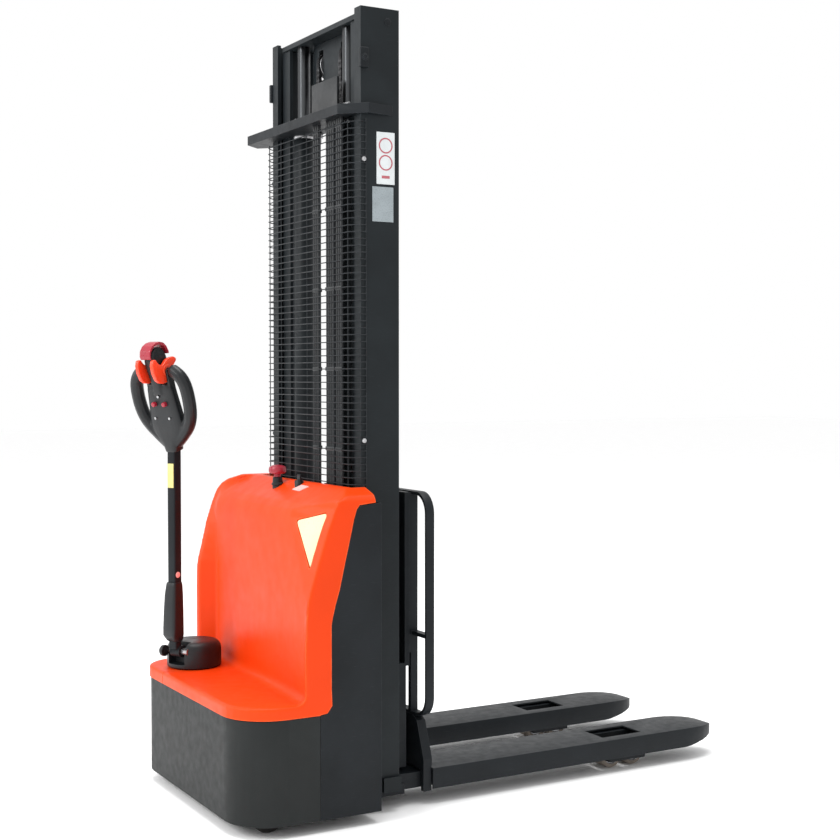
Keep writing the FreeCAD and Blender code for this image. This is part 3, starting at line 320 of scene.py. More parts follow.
def smooth_path(points, steps=8):
    """Catmull-Rom curve through points."""
    padded = [points[0]] + list(points) + [points[-1]]
    path = []
    for a, b, c, d in zip(padded, padded[1:], padded[2:], padded[3:]):
        a, b, c, d = (np.array(p, float) for p in (a, b, c, d))
        for i in range(steps):
            t = i / steps
            path.append(0.5 * (2 * b + (c - a) * t + (2 * a - 5 * b + 4 * c - d) * t ** 2
                               + (3 * b - a - 3 * c + d) * t ** 3))
    path.append(np.array(points[-1], float))
    return [tuple(p) for p in path]


def joined(name, parts):
    """Several meshes as one object."""
    shape = bmesh.new()
    for part in parts:
        part.data.transform(part.matrix_world)
        shape.from_mesh(part.data)
        bpy.data.objects.remove(part)
    mesh = bpy.data.meshes.new(name)
    shape.to_mesh(mesh)
    shape.free()
    obj = bpy.data.objects.new(name, mesh)
    bpy.context.scene.collection.objects.link(obj)
    return obj


def settled(obj):
    """Applies the modifiers."""
    graph = bpy.context.evaluated_depsgraph_get()
    mesh = bpy.data.meshes.new_from_object(obj.evaluated_get(graph))
    obj.modifiers.clear()
    obj.data = mesh
    return obj


def moulded(name, parts, voxel, rounds, factor=0.5):
    """Melts parts into one skin and softens its edges, as in a moulding."""
    obj = joined(name, parts)
    remesh = obj.modifiers.new("skin", "REMESH")
    remesh.mode = "VOXEL"
    remesh.voxel_size = voxel * MM
    soft = obj.modifiers.new("soft", "SMOOTH")
    soft.factor = factor
    soft.iterations = rounds
    return settled(obj)


def carved(obj, tool, operation="DIFFERENCE"):
    """Cuts with another solid, which is used up. The cut's faces keep the tool's material number."""
    change = obj.modifiers.new("carve", "BOOLEAN")
    change.object = tool
    change.operation = operation
    change.solver = "EXACT"
    settled(obj)
    bpy.data.objects.remove(tool)
    return obj


def tagged(obj, number):
    """Marks all faces of a cutter with a material number."""
    while len(obj.data.materials) <= number:
        obj.data.materials.append(None)
    obj.data.polygons.foreach_set("material_index", [number] * len(obj.data.polygons))
    return obj


def skinned(obj, thickness, number=1):
    """Drops the faces with a material number and thickens the rest inwards."""
    shape = bmesh.new()
    shape.from_mesh(obj.data)
    bmesh.ops.delete(shape, geom=[f for f in shape.faces if f.material_index == number], context="FACES")
    for face in shape.faces:
        face.material_index = 0
    shape.to_mesh(obj.data)
    shape.free()
    wall = obj.modifiers.new("wall", "SOLIDIFY")
    wall.thickness = thickness * MM
    wall.offset = -1.0
    return settled(obj)


def shaded(obj, angle=35.0):
    mesh = obj.data
    mesh.polygons.foreach_set("use_smooth", [True] * len(mesh.polygons))
    mesh.set_sharp_from_angle(angle=math.radians(angle))
    return obj


def eased(obj, width=1.5, segments=2):
    """Rounds hard edges."""
    edge = obj.modifiers.new("edge", "BEVEL")
    edge.width = width * MM
    edge.segments = segments
    edge.limit_method = "ANGLE"
    edge.angle_limit = math.radians(38)
    return settled(obj)


def piece(obj, body, slot, replaces=(), material=None, angle=35.0):
    """Gives a finished mesh its material and its body, and hides the CAD nodes that it stands for."""
    obj.data.materials.clear()
    obj.data.materials.append(material or MATERIALS[slot])
    obj.data.polygons.foreach_set("material_index", [0] * len(obj.data.polygons))
    shaded(obj, angle)
    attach(obj, body)
    if replaces:
        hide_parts(*replaces)
    return obj


# ---------------------------------------------------------------- main cover

def at(table, z):
    heights, values = zip(*table)
    return float(np.interp(z, heights, values))


WALL_X = -420
TOP = 974
CREASE_Y = LEFT - 69
FOOT_ROUND = 24
# the recessed wall bends back over a wide radius into the sloping top
WALL = [(300, WALL_X), (868, WALL_X), (884, -418), (899, -412), (911, -403), (921, -391), (950, -341),
        (965, -317),
        (TOP, -300)]
RIGHT_CORNER = [(300, -466), (558, -466), (660, -456), (752, -428), (821, -405), (863, -391), (891, -380),
                (919, -369),
                (941, -360), (956, -331), (TOP, -300)]
FACET_Y = [(300, RIGHT + 23), (655, RIGHT + 23), (904, RIGHT + 214), (943, RIGHT + 12)]
LEFT_CORNER = [(300, -467), (640, -467), (688, -463), (754, -446), (820, -431), (886, -409), (925, -392),
               (951, -370), (TOP, -330)]
TOP_INSET = [(300, 0), (938, 0), (956, 14), (TOP, 70)]
WALL_STEPS = 9


def cover_section(z):
    """Plan outline of the upright cover at one height, right side first."""
    foot = 0.0
    if z < SEAM_Z + 36 + FOOT_ROUND:
        rise = max(0.0, z - SEAM_Z - 36)
        foot = FOOT_ROUND - math.sqrt(FOOT_ROUND ** 2 - (FOOT_ROUND - rise) ** 2)
    inset = at(TOP_INSET, z)
    wall = at(WALL, z) - foot
    bulge = float(np.interp(z, [640, 904], [38, 0]))
    facet = at(FACET_Y, z)
    crease = min(CREASE_Y, LEFT - inset - 48)

    def back(y):
        return wall - bulge * max(0.0, (crease - y) / (crease - RIGHT)) ** 2.2

    corner = at(RIGHT_CORNER, z) - foot
    outline = [(-150, RIGHT + inset), (corner, RIGHT + inset)]
    outline += [(back(y), max(y, RIGHT + inset + 2)) for y in np.linspace(facet, crease, WALL_STEPS)]
    left = at(LEFT_CORNER, z) - foot
    outline += [(left + 3, LEFT - 26 - inset), (left, LEFT - inset), (-150, LEFT - inset)]
    return [(x, y, z) for x, y in outline]


def deck_outline():
    """Plan outline of the deck with its two rounded rear corners."""
    outline = [(-380, RIGHT)]
    for radius, centre_y, start in ((140, RIGHT + 140, -90), (110, LEFT - 110, 180)):
        for i in range(9):
            angle = math.radians(start - i * 90 / 8)
            outline.append((DECK_REAR + radius + radius * math.cos(angle),
                            centre_y + radius * math.sin(angle)))
    outline.append((-380, LEFT))
    return outline


SIDE_LINE = [(-418, 290), (-418, 338), (-396, 341), (-381, 361), (-383, 407), (-383, 590), (-379, 612),
             (-370, 648),
             (-357, 690), (-341, 760), (-324, 831), (-311, 888), (-302, 917), (-292, 929), (-240, 934),
             (-238, 1000), (-130, 1000), (-130, 290)]
LENS = [(-418, -230, 878), (-380, -360, 909), (-432, -354, 748)]


def lens_prism(name, grow, low, high):
    """Triangle of the lamp lens, grown about its middle, run along its normal."""
    points = [Vector(p) for p in LENS]
    normal = (points[1] - points[0]).cross(points[2] - points[0]).normalized()
    if normal.x > 0:
        normal = -normal
    middle = sum(points, Vector()) / 3
    ring = []
    for index, corner in enumerate(points):
        before, after = points[index - 1], points[(index + 1) % 3]
        for t in (0.1, 0.03, 0.0):
            ring.append(corner + (before - corner) * t * 0.9)
        for t in (0.03, 0.1):
            ring.append(corner + (after - corner) * t * 0.9)
        inner = (middle - corner).normalized()
        ring[-3] = corner + inner * 7
        ring[-4] = corner + (before - corner).normalized() * 7 + inner * 1.5
        ring[-2] = corner + (after - corner).normalized() * 7 + inner * 1.5
    ring = [p + (p - middle).normalized() * grow for p in ring]
    rings = [[p + normal * level for p in ring] for level in (low, high)]
    return loft(name, [[tuple(p) for p in r] for r in rings])


def cover_body(name):
    """The whole moulding as a solid block with soft edges, before it is cut and hollowed."""
    heights = [300, 360, 372, 376, 382, 389, 396, 427, 520, 600, 655, 688, 730, 772, 815, 860, 884, 904, 922,
               941,
               956, 965, TOP]
    upright = loft("upright", [cover_section(z) for z in heights])
    deck = prism("deck", "z", deck_outline(), 290, SEAM_Z + 36)
    return moulded(name, [upright, deck], 4.5, 9)


def main_cover():
    """Orange moulding, the small deck cover beside it and the lamp lenses."""
    wide = (RIGHT - 20, LEFT + 20)
    body = cover_body("cover_moulding")
    carved(body, tagged(prism("front_cut", "y", SIDE_LINE, *wide), 1))
    carved(body, tagged(block("top_cut", (-283, -322, 880), (-100, 322, 1010)), 1))
    carved(body, tagged(block("floor_cut", (-800, wide[0], 200), (-100, wide[1], SEAM_Z + 0.5)), 1))
    seam_y = corners("tiller_deck_cover")[0].y
    deck = body.copy()
    deck.data = body.data.copy()
    bpy.context.scene.collection.objects.link(deck)

    def deck_region(name, grow):
        return block(name, (-700, seam_y - grow, 300), (-488 + grow, wide[1], 430))

    carved(body, tagged(deck_region("deck_cut", 3.0), 1))
    carved(deck, tagged(deck_region("deck_keep", 0), 1), "INTERSECT")
    for shape in (body, deck):
        neck = [(0.5, 300), (46, 300), (46, 420), (0.5, 420)]
        carved(shape, tagged(lathe("neck", neck, "z", (STEER_X, STEER_Y, 0)), 1))
    carved(body, tagged(lens_prism("pocket", 3.5, -8, 40), 2))
    for (x, y), radius in ((ESTOP, 16.3), (KEY, 14.3)):
        hole = [(0.5, 900), (radius, 900), (radius, 1000), (0.5, 1000)]
        carved(body, tagged(lathe("hole", hole, "z", (x, y, 0)), 1))
    piece(skinned(body, 4.5), "chassis", "orange_cover", ["main_cover"])
    piece(skinned(deck, 4.5), "chassis", "orange_cover", ["tiller_deck_cover"])
    deck.name = "tiller_deck_moulding"
    lens = eased(lens_prism("lamp_diffuser", -1.2, -7.0, -3.0), 1.2, 3)
    piece(lens, "chassis", "lens", ["lamp_lens"])


ESTOP = (-333, 87)
KEY = (-315, -34)


def cover_controls():
    """Emergency stop mushroom on its collar, the key switch and a blank label beside them."""
    collar = [(11.3, 935), (15.8, 935), (15.8, 955), (19, 957), (19, 962), (15.8, 966), (15.2, 980),
              (13, 982.5),
              (11.3, 982.5)]
    piece(lathe("estop_collar", collar, "z", (*ESTOP, 0)), "chassis", "black_plastic", ["estop_base"])
    mushroom = [(0.5, 972), (10.8, 972), (10.8, 990), (16, 992), (24, 994), (27.5, 999), (27.5, 1008),
                (25, 1014),
                (18, 1018), (8, 1020), (0.5, 1020)]
    piece(lathe("estop_mushroom", mushroom, "z", (*ESTOP, 0)), "estop_button", "red_plastic",
          ["estop_button"])
    x, y = KEY
    barrel = lathe("barrel", [(0.5, 946), (13.8, 946), (13.8, 976), (12, 979), (0.5, 979)], "z", (x, y, 0))
    wing = eased(block("wing", (x - 3, y - 11, 977), (x + 3, y + 11, 996)), 1.5)
    piece(joined("key_switch_knob", [barrel, wing]), "key_knob", "black_plastic", ["key_knob"])
    slope = math.tan(math.radians(30))
    outline = [(-343, -96), (-320, -112), (-318, -58), (-341, -40)]
    rings = [[(px, py, 951 + (px + 341) * slope + lift) for px, py in outline] for lift in (0, 2.2)]
    piece(loft("control_label", rings), "chassis", "orange_cover", material=PINK_PLATE)


# ---------------------------------------------------------------- tiller

STEER_X = -535
STEER_Y = 290
ARM_X = -620
PIVOT = (-606, 0, 430)
STEER = Vector((STEER_X, STEER_Y, 0)) * MM
STEER_REST = 25
HEAD_LEAN = -16
HEAD_MIDDLE = (-666, STEER_Y, 1236)
TURN = Matrix.Translation(STEER) @ Matrix.Rotation(math.radians(STEER_REST), 4,
                                                   "Z") @ Matrix.Translation(-STEER)
HEAD = (TURN @ Matrix.Translation(Vector(HEAD_MIDDLE) * MM)
        @ Matrix.Rotation(math.radians(HEAD_LEAN), 4, "Y"))
LEVER_AXIS = (4, 82)


def on_head(obj):
    """Moves a piece from the head's own frame to its place."""
    obj.data.transform(HEAD)
    return obj


def turned(obj):
    """Turns a piece with the steered parts about the steering axis."""
    obj.data.transform(TURN)
    return obj


def oval_ring(half_x, half_y, z, centre_x=0.0, power=0.6, steps=24):
    """Soft-cornered oval at one height."""
    ring = []
    for i in range(steps):
        angle = math.tau * i / steps
        c, s = math.cos(angle), math.sin(angle)
        across, along = math.copysign(abs(c) ** power, c), math.copysign(abs(s) ** power, s)
        ring.append((centre_x + half_x * across, half_y * along, z))
    return ring


def tiller_head():
    """Grip loops that merge into a flat body, a neck round the tube and a housing for the levers."""
    parts = []
    for side in (-1, 1):
        line = [(0, 20, -150), (2, 52, -124), (2, 82, -94), (0, 101, -58), (-1, 108, -12), (-1, 105, 34),
                (-1, 92, 62),
                (0, 72, 78), (2, 64, 80)]
        line = smooth_path([(x, side * y, z) for x, y, z in line])
        parts.append(tube("loop_%d" % side, [line], 21, 16))
        low, high = sorted((side * 41, side * 50))
        parts.append(block("post_%d" % side, (-12, low, -20), (14, high, 88)))
    sections = [(-178, 22, 25), (-160, 23, 29), (-140, 23, 42), (-118, 22, 60), (-90, 22, 68), (-50, 21, 63),
                (-10, 20, 58), (25, 19, 54), (42, 17, 46)]
    parts.append(loft("spine", [oval_ring(x, y, z) for z, x, y in sections]))
    core = [(10, 24, 21), (60, 26, 21), (90, 33, 21), (118, 35, 21), (136, 31, 20.5), (148, 24, 19.5),
            (155, 12, 18)]
    parts.append(loft("core", [oval_ring(x, y, z, power=0.45) for z, x, y in core]))
    parts.append(lathe("boss", [(0.5, -60), (9, -60), (9, 60), (0.5, 60)], "y", (4, 0, 82), 32))
    head = on_head(moulded("tiller_head_moulding", parts, 2.5, 4))
    piece(head, "tiller", "black_plastic", ["tiller_head"])
    screws = [lathe("screw", [(0.5, -24.5), (4, -24.5), (4, -20), (0.5, -20)], "x", (0, y, z), 16)
              for y, z in ((30, -66), (-30, -66), (0, 4))]
    piece(on_head(joined("head_screws", screws)), "tiller", "bright_steel")


def head_controls():
    """Red reverse button over the top, butterfly levers, and the horn and lift buttons."""
    profile = [(-41, 128), (-42, 140), (-37, 154), (-24, 166), (-6, 172), (12, 172), (27, 165), (37, 152),
               (42, 136),
               (42, 128)]
    inner = [(x * 0.87, 126 + (z - 128) * 0.86) for x, z in reversed(profile)]
    cap = on_head(moulded("reverse_cap", [prism("cap", "y", profile + inner, -22, 22)], 1.8, 4))
    piece(cap, "reverse_button", "red_plastic", ["reverse_button"])
    wings = []
    outline = [(-36, 127), (-47, 126), (-54, 112), (-55, 88), (-49, 64), (-38, 52), (-24, 47), (-4, 47),
               (4, 52), (6, 66),
               (20, 84), (36, 92), (49, 102), (50, 110), (40, 117), (26, 118), (10, 116), (-8, 104), (-18,
                                                                                                      104),
               (-28, 112)]
    for side in (-1, 1):
        low, high = sorted((side * 25, side * 39))
        wing = eased(prism("wing_%d" % side, "y", outline, low, high), 3.0, 3)
        hole = [(0.5, low - 5), (9.6, low - 5), (9.6, high + 5), (0.5, high + 5)]
        carved(wing, lathe("hub_hole", hole, "y",
                           (LEVER_AXIS[0], 0, LEVER_AXIS[1]), 32))
        wings.append(wing)
        rim = [(9.6, low - 1), (17, low - 1), (18, low + 1), (18, high - 1), (17, high + 1), (9.6, high + 1)]
        wings.append(lathe("hub", rim, "y", (LEVER_AXIS[0], 0, LEVER_AXIS[1]), 40))
    piece(on_head(joined("butterfly_levers", wings)), "thumb_levers", "lever_plastic", ["thumb_levers"])
    for name, node, y in (("horn_cap", "horn_button", 22), ("lift_cap", "lift_button", -22)):
        profile = [(0.5, -17), (7.8, -17), (7.8, -28), (6.5, -30.5), (0.5, -31.5)]
        cap = on_head(lathe(name, profile, "x", (0, y, -20), 24))
        piece(cap, node, "red_plastic", [node])


def rounded_ring(half_x, half_y, radius, z, centre, steps=5):
    """Rounded rectangle at one height."""
    ring = []
    for cx, cy, start in ((1, 1, 0), (-1, 1, 90), (-1, -1, 180), (1, -1, 270)):
        for i in range(steps):
            angle = math.radians(start + 90 * i / (steps - 1))
            ring.append((centre[0] + cx * (half_x - radius) + radius * math.cos(angle),
                         centre[1] + cy * (half_y - radius) + radius * math.sin(angle), z))
    return ring


def tiller_arm():
    """Rounded steel tube with a rubber boot at its foot, a blank label and a cap screw."""
    y, arm = STEER_Y, ARM_X
    tube_rings = [rounded_ring(16, 16, 5, z, (arm, y)) for z in (470, 1084)]
    bar = loft("arm", tube_rings)
    ring = [(10.2, y - 20), (19, y - 20), (19, y + 20), (10.2, y + 20)]
    knuckle = lathe("knuckle", ring, "y", PIVOT, 32)
    root = loft("root", [rounded_ring(13, 16, 5, 440, (arm, y)), rounded_ring(14, 16, 5, 482, (arm, y))])
    piece(turned(joined("tiller_tube_bar", [bar, knuckle, root])), "tiller", "black_paint", ["tiller_tube"])
    rings = []
    for z, low, high, half_y, radius in ((464, -637, -604, 22, 9), (474, -645, -603, 25, 10),
                                         (484, -652, -602, 27, 11),
                                         (505, -652, -602, 27, 11), (560, -650, -602, 26, 11), (610, -647,
                                                                                                -602, 24, 10),
                                         (640, -643, -602, 21, 9), (650, -641, -603, 19, 8)):
        rings.append(rounded_ring((high - low) / 2, half_y, radius, z, ((low + high) / 2, y)))
    boot = eased(loft("tiller_boot_rubber", rings), 2, 3)
    piece(turned(boot), "tiller", "black_plastic", ["tiller_boot"])
    label = eased(block("tiller_plate", (arm - 17.4, y - 13, 948), (arm - 15.5, y + 12, 1024)), 0.4, 1)
    piece(turned(label), "tiller", "black_plastic", material=YELLOW_PLATE)
    cap = [(0.5, y - 17.5), (7, y - 17.5), (9.5, y - 16.5), (10, y - 14.5), (0.5, y - 14.5)]
    piece(turned(lathe("tube_cap", cap, "y", (-622, 0, 674), 28)), "tiller", "black_plastic",
          material=PINK_PLATE)


def tiller_base():
    """Round housing that turns with the drive unit, open behind for the arm, with its tilt pin."""
    y = STEER_Y
    profile = [(0.5, 374), (83, 374), (86, 378), (86, 430), (84, 440), (79, 448), (71, 454), (60, 456),
               (0.5, 456)]
    drum = lathe("drum", profile, "z", (STEER_X, y, 0), 72)
    corner = [(-640, 360), (-640, 410), (-636, 424), (-628, 436), (-615, 447), (-600, 454), (-585, 457),
              (-440, 457),
              (-440, 360)]
    carved(drum, prism("rear_round", "y", corner, y - 100, y + 100), "INTERSECT")
    carved(drum, block("slot", (-660, y - 34, 388), (-582, y + 34, 480)))
    lug = lathe("lug", [(0.5, y + 34), (17, y + 34), (18, y + 35), (18, y + 45), (17, y + 46),
                        (0.5, y + 46)], "y",
                (-628, 0, 430), 36)
    housing = eased(joined("tiller_base_housing", [drum, lug]), 2.0, 3)
    piece(turned(housing), "drive_unit", "black_plastic", ["tiller_base"])
    neck = lathe("base_neck_ring", [(30, 350), (44, 350), (44, 376), (30, 376)], "z", (STEER_X, y, 0))
    piece(neck, "drive_unit", "cast_metal")
    pins = [lathe("pin", [(0.5, y + 45), (8, y + 45), (9, y + 46), (9, y + 50), (8, y + 51), (0.5, y + 51)],
                  "y",
                  (-634, 0, 431), 28),
            lathe("tilt_pin", [(0.5, y - 44), (10, y - 44), (10, y + 44), (0.5, y + 44)], "y", PIVOT, 28)]
    piece(turned(joined("tilt_pin_ends", pins)), "drive_unit", "bright_steel")


# ---------------------------------------------------------------- mast details

# hoses between the guard and the rear of the inner mast's tie
HOSE_X = -264
HOSE_R = 6.3
HOSE_PITCH = 13.4


def mesh_guard():
    """Bent horizontal wires welded to upright wires, in round bar."""
    low, high = corners("mesh_guard")
    wire = 1.7
    count = int((high.z - low.z) / 20) + 1
    runs = []
    for i in range(count):
        z = low.z + 1.5 + 20 * i
        bend = [(-228, 314.7, z), (-247, 314.7, z), (-251, 312, z), (-270, 288, z), (-273, 284, z)]
        runs.append(bend + [(x, -y, z) for x, y, z in reversed(bend)])
    uprights = [(-271, y) for y in (-280, -190, -95, 0, 95, 190, 280)] + [(-229, -315), (-229, 315)]
    for x, y in uprights:
        runs.append([(x, y, low.z), (x, y, high.z)])
    piece(tube("wire_guard", runs, wire, 8), "chassis", "black_paint", ["mesh_guard"])
    hoses, straps = [], []
    for first, count in ((-46, 3), (-134, 8)):
        for i in range(count):
            y = first - HOSE_PITCH * i
            hoses.append(tube("hose", [[(HOSE_X, y, 900), (HOSE_X, y, 2070)]], HOSE_R, 14))
        edge = first - HOSE_PITCH * (count - 1)
        for z in range(1080, 2060, 240):
            strap = block("strap", (HOSE_X - 6.7, edge - 8, z - 6), (HOSE_X + 6.8, first + 8, z + 6))
            straps.append(eased(strap, 2, 2))
    straps.append(eased(block("hose_bracket", (-254, -176, 2078), (-246, 0, 2194)), 2, 2))
    piece(joined("guard_hoses", hoses + straps), "chassis", "black_plastic")


def hex_bolt(name, axis, centre, side, across=9.0, height=6.0):
    """Hexagon head on a washer, facing along one axis."""
    direction = 1 if side > 0 else -1
    head = [(0.5, 0), (across, 0), (across, direction * height * 0.8), (across * 0.85, direction * height),
            (0.5, direction * height)]
    washer = [(0.5, 0), (across * 1.35, 0), (across * 1.35, direction * 1.6), (0.5, direction * 1.6)]
    return [lathe(name + "_head", head, axis, centre, 6), lathe(name + "_washer", washer, axis, centre, 24)]


def mast_details():
    """Guard clamps with bolts, web screws, limit switch clips and blank plates."""
    clamps, bolts = [], []
    face = corners("mast_channel_left")[1].y - 12
    for side in (-1, 1):
        for z in (1109.5, 1929.5):
            low, high = sorted((side * face, side * (face + 8)))
            clamps.append(eased(block("clamp", (-244, low, z - 7), (-233, high, z + 7)), 1.5))
            bolts += hex_bolt("clamp_bolt", "y", (-238.5, side * (face + 8), z), side, 5, 4)
        screw = [(0.5, 0), (11, 0), (11, side * 1.5), (8, side * 3), (0.5, side * 3)]
        clamps.append(lathe("web_screw", screw, "y", (-156, side * face, 2335), 28))
        low, high = sorted((side * face, side * (face + 14)))
        clamps.append(eased(block("clip", (-252, low, 2194), (-224, high, 2252)), 3, 3))
        clamps += hex_bolt("clip_bolt", "y", (-238, side * (face + 14), 2223), side, 8, 5)
    piece(joined("clamp_plates", clamps), "chassis", "black_paint", ["frame_fasteners"])
    piece(joined("clamp_bolts", bolts), "chassis", "bright_steel")
    plate = eased(block("notice_plate", (-193, -face - 1.2, 1861), (-133, -face + 0.5, 2013)), 0.4, 1)
    piece(plate, "chassis", "mast_paint", material=WHITE_PLATE)
    rings = []
    for z in (1974, 1924):
        profile = [(19, -1.6), (23, -1.6), (23, -0.6), (19, -0.6)]
        rings.append(lathe("ring", profile, "y", (-163, -face, z), 40))
    rings.append(block("bar", (-176, -face - 1.6, 1878), (-150, -face - 0.8, 1886)))
    piece(joined("notice_marks", rings), "chassis", "mast_paint", material=PALE_RED)
    data = eased(block("rating_plate", (-207, -face - 1.2, 1751), (-137, -face + 0.5, 1853)), 0.4, 1)
    piece(data, "chassis", "mast_paint", material=GREY_PLATE)


PITCH = 15.875


def link_outline(steps=5):
    """Waisted outline of a leaf chain plate between two pins, along z."""
    half = PITCH / 2
    outline = []
    for centre, start in ((half, -20), (-half, 160)):
        for i in range(steps):
            angle = math.radians(start + 220 * i / (steps - 1))
            outline.append((5.8 * math.cos(angle), centre + 5.8 * math.sin(angle)))
    return outline


def chain_run(name, x, y, low, high):
    """Straight leaf chain along z, fitted to a whole number of links."""
    count = max(1, round((high - low) / PITCH))
    scale = (high - low) / (count * PITCH)
    parts = []
    for i in range(count):
        middle = low + (i + 0.5) * PITCH * scale
        offsets = (-8.6, -2.9, 2.9, 8.6) if i % 2 else (-5.75, 0.0, 5.75)
        outline = [(x + a, middle + b * scale) for a, b in link_outline()]
        for offset in offsets:
            parts.append(prism(name, "y", outline, y + offset - 1.3, y + offset + 1.3))
        pin = [(0.5, -9.8), (2.6, -9.8), (2.6, 9.8), (0.5, 9.8)]
        parts.append(lathe(name, pin, "y", (x, y, low + i * PITCH * scale), 8))
    return joined(name, parts)


def chains():
    """Leaf chains: short fixed fall, half turn on the sheave, and the long fall to the carriage."""
    sheave_x, sheave_z, reach = -150, 2278, 40
    lug = corners("front_chain_falls")[0].z
    anchor = corners("rear_chain_falls")[0].z
    rears, fronts, turns = [], [], []
    for y in (77, -77):
        rears.append(chain_run("rear", sheave_x - reach, y, anchor, sheave_z))
        fronts.append(chain_run("front", sheave_x + reach, y, lug, sheave_z))
        for i in range(8):
            angle = math.radians(180 * (i + 0.5) / 8)
            turn = chain_run("turn", 0, 0, -PITCH / 2, PITCH / 2)
            turn.data.transform(Matrix.Translation(Vector((sheave_x, y, sheave_z)) * MM)
                                @ Matrix.Rotation(-angle, 4,
                                                  "Y") @ Matrix.Translation(Vector((reach, 0, 0)) * MM))
            turns.append(turn)
    front = piece(joined("chain_front_fall", fronts), "inner_mast", "chain_steel", ["front_chain_falls"])
    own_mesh(front)
    piece(joined("chain_turns", turns), "inner_mast", "chain_steel")
    rear = joined("chain_rear_fall", rears)
    piece(rear, "chassis", "chain_steel", ["rear_chain_falls"])
    rear.parent = None
    del rear["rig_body"]
    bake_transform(rear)


def cylinder_fittings():
    """Gland nuts on the tops of the lift cylinder tubes."""
    parts = []
    for y in (158, -158):
        parts.append(lathe("gland_nut", [(20.2, 2098), (34, 2098), (34, 2114), (31, 2118), (20.2, 2118)],
                           "z", (-205, y, 0), 6))
    piece(joined("gland_nuts", parts), "chassis", "bright_steel")


# ---------------------------------------------------------------- wheels

def wheel(node, body, hub_radius, bore, tread_ribs=0, half=0.0, place=lambda obj: obj, tread=None):
    """Tyre on a hub with a recess in each side, to the CAD wheel's size."""
    low, high = corners(node)
    radius, half = (high.z - low.z) / 2, half or (high.y - low.y) / 2
    centre = ((low.x + high.x) / 2, (low.y + high.y) / 2, (low.z + high.z) / 2)
    soft = min(6.0, half * 0.25)
    tyre = [(hub_radius, -half + 1), (radius - soft, -half), (radius - soft * 0.3, -half + soft * 0.3),
            (radius, -half + soft)]
    for i in range(tread_ribs):
        y = -half + soft + (2 * half - 2 * soft) * (i + 1) / (tread_ribs + 1)
        tyre += [(radius, y - 2), (radius - 2.5, y - 1.2), (radius - 2.5, y + 1.2), (radius, y + 2)]
    tyre += [(radius, half - soft), (radius - soft * 0.3, half - soft * 0.3), (radius - soft, half),
             (hub_radius, half - 1)]
    piece(place(lathe(node + "_tyre", tyre, "y", centre, 64)), body, "polyurethane", [node], material=tread)
    hub = [(bore, -half + 2), (bore + 4, -half + 0.5), (hub_radius * 0.6, -half + 0.5),
           (hub_radius * 0.64, -half + 5), (hub_radius * 0.9, -half + 5), (hub_radius + 0.2, -half + 0.5),
           (hub_radius + 0.2, half - 0.5),
           (hub_radius * 0.9, half - 5), (hub_radius * 0.64, half - 5), (hub_radius * 0.6, half - 0.5),
           (bore + 4, half - 0.5), (bore, half - 2)]
    slot = "cast_metal" if hub_radius > 40 else "bright_steel"
    piece(place(lathe(node + "_hub", hub, "y", centre, 48)), body, slot)


# along a fork: distance from the crossplate, underside and top
FORK_LINE = [(-1.5, 47, 110), (0, 47, 110), (200, 47, 110), (600, 47, 110), (985, 47, 110), (1010, 49, 110),
             (1040, 54, 109), (1070, 59, 107.5), (1098, 64, 105.5), (1120, 68, 103), (1136, 72, 100),
             (1145, 76, 96.5), (1149, 80, 93)]
FORK_MIDDLE = 221
FORK_HALF = 93
NOSE_START = 985
NOSE_LENGTH = 165.5


def forks():
    """Pressed steel forks: rounded nose, opening over the load wheels, hollow for the leg."""
    for name, middle in (("fork_left", FORK_MIDDLE), ("fork_right", -FORK_MIDDLE)):
        rings = []
        for x, low, high in FORK_LINE:
            reach = max(0.0, (x - NOSE_START) / NOSE_LENGTH)
            half = FORK_HALF * math.sqrt(1 - min(reach, 0.998) ** 2.2)
            rings.append([(x, middle - half, low), (x, middle + half, low), (x, middle + half, high),
                          (x, middle - half, high)])
        fork = loft(name + "_shell", rings)
        inside = FORK_HALF - 6
        carved(fork, block("leg_room", (-10, middle - inside, 30), (1000, middle + inside, 104)))
        carved(fork, block("roller_window", (670, middle - 50, 96), (828, middle + 50, 130)))
        piece(eased(fork, 2.5, 3), "carriage", "black_paint", [name])


def wheels():
    wheel("drive_wheel", "drive_wheel", 62, 15.1, 3, half=33.0, place=turned)
    wheel("caster_wheel", "caster_wheel", 30, 8.1)
    for side in ("left", "right"):
        for place in ("back", "front"):
            name = "load_wheel_%s_%s" % (side, place)
            wheel(name, name, 27, 10.1, tread=PALE_TYRE)


# ---------------------------------------------------------------- carried-over CAD nodes

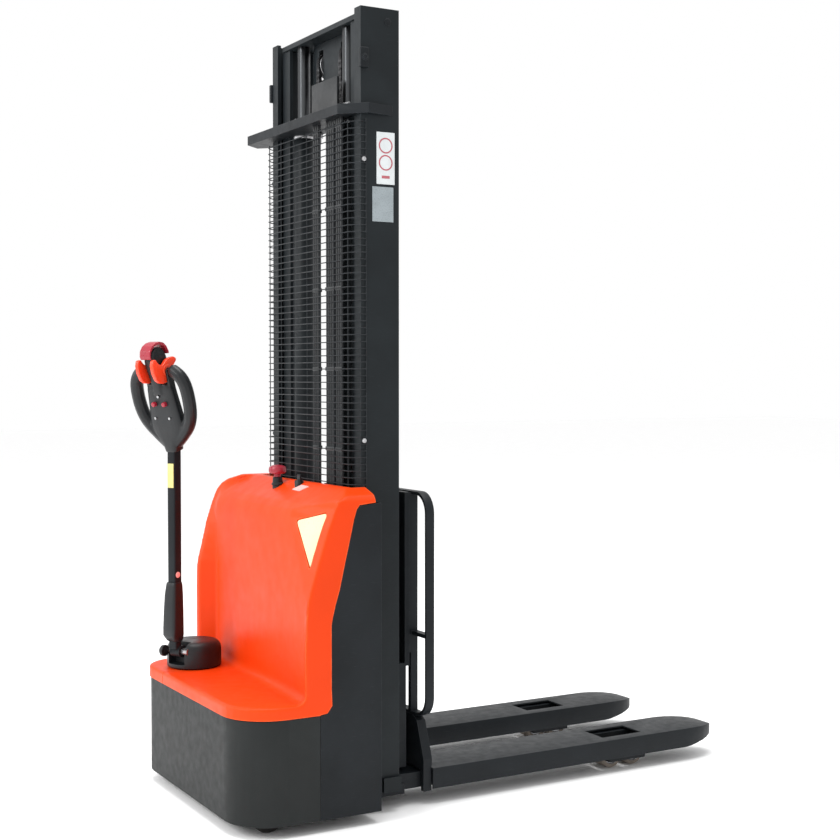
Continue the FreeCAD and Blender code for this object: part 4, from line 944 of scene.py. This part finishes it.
def finish_cad_nodes():
    """Every CAD node that stays gets its slot's material and softened edges."""
    slots = {
        "rear_skirt": "dark_plastic", "side_panel_left": "black_paint", "side_panel_right": "black_paint",
        "battery": "battery_case", "pump_motor": "cast_metal", "oil_tank": "black_plastic",
        "drive_controller": "cast_metal", "drive_gearbox": "cast_metal", "drive_motor": "cast_metal",
        "lift_cylinders": "mast_paint", "cylinder_glands": "bright_steel", "lift_rods": "chrome",
        "chain_anchors": "bright_steel", "chain_sheaves": "bright_steel",
        "outer_mast_rollers": "bright_steel",
        "inner_mast_rollers": "bright_steel", "carriage_rollers_lower": "bright_steel",
        "carriage_rollers_upper": "bright_steel", "caster_fork": "bright_steel",
        "upper_crossmember": "black_paint", "carriage_plates": "black_paint",
        "fork_crossplate": "black_paint",
        "load_backrest": "black_paint",
        "chassis_frame": "black_paint", "support_leg_left": "black_paint", "support_leg_right": "black_paint",
    }
    widths = {"rear_skirt": 2.5, "load_backrest": 2.5, "upper_crossmember": 3.0}
    for name, obj in NODES.items():
        if obj.hide_render:
            continue
        obj.data.materials.clear()
        obj.data.materials.append(MATERIALS[slots.get(name, "mast_paint")])
        weld = obj.modifiers.new("weld", "WELD")
        weld.merge_threshold = 0.00002
        edge = obj.modifiers.new("edge", "BEVEL")
        edge.width = widths.get(name, 1.2) * MM
        edge.segments = 2
        edge.limit_method = "ANGLE"
        edge.angle_limit = math.radians(38)
        edge.harden_normals = True


# ---------------------------------------------------------------- studio

FLOOR_HALF = 30000
# name, place in metres, width in metres, power in watts
SOFT_BOXES = [("key", (-6.0, -0.4, 4.2), 3.0, 230), ("sheen", (-4.6, 3.4, 2.6), 2.5, 60),
              ("top", (0.0, 0.0, 6.5), 4.0, 300)]
CAMERA_SPOT = (-2.18146, -4.03993, 1.29994)
CAMERA_AIM = (0.49677, 0.86733, -0.03096)
CAMERA_LENS = 61.55


def studio():
    """Pale floor, soft boxes and the camera."""
    far = FLOOR_HALF
    floor = made("studio_floor", [(-far, -far, 0), (far, -far, 0), (far, far, 0), (-far, far, 0)],
                 [(0, 1, 2, 3)])
    floor.data.materials.append(surface("floor_paper", (0.99, 0.99, 0.99), 0.8, tone=0.01, bump=0.02))
    world = bpy.data.worlds.new("studio")
    bpy.context.scene.world = world
    world.use_nodes = True
    world.node_tree.nodes["Background"].inputs["Color"].default_value = (1.0, 1.0, 1.0, 1.0)
    world.node_tree.nodes["Background"].inputs["Strength"].default_value = 1.0
    bpy.context.scene.view_settings.view_transform = "Standard"
    target = Vector((-0.3, 0.0, 0.9))
    for name, spot, width, power in SOFT_BOXES:
        light = bpy.data.lights.new(name, "AREA")
        light.shape = "SQUARE"
        light.size = width
        light.energy = power
        lamp = bpy.data.objects.new(name, light)
        lamp.location = spot
        lamp.rotation_euler = (target - Vector(spot)).to_track_quat("-Z", "Y").to_euler()
        bpy.context.scene.collection.objects.link(lamp)
    camera = bpy.data.cameras.new("camera")
    camera.lens = CAMERA_LENS
    camera.sensor_width = 36.0
    camera.clip_end = 200.0
    eye = bpy.data.objects.new("camera", camera)
    eye.location = CAMERA_SPOT
    eye.rotation_euler = Vector(CAMERA_AIM).to_track_quat("-Z", "Y").to_euler()
    bpy.context.scene.collection.objects.link(eye)
    bpy.context.scene.camera = eye


main_cover()
forks()
cover_controls()
tiller_head()
head_controls()
tiller_arm()
tiller_base()
mesh_guard()
mast_details()
chains()
cylinder_fittings()
wheels()
finish_cad_nodes()
studio()
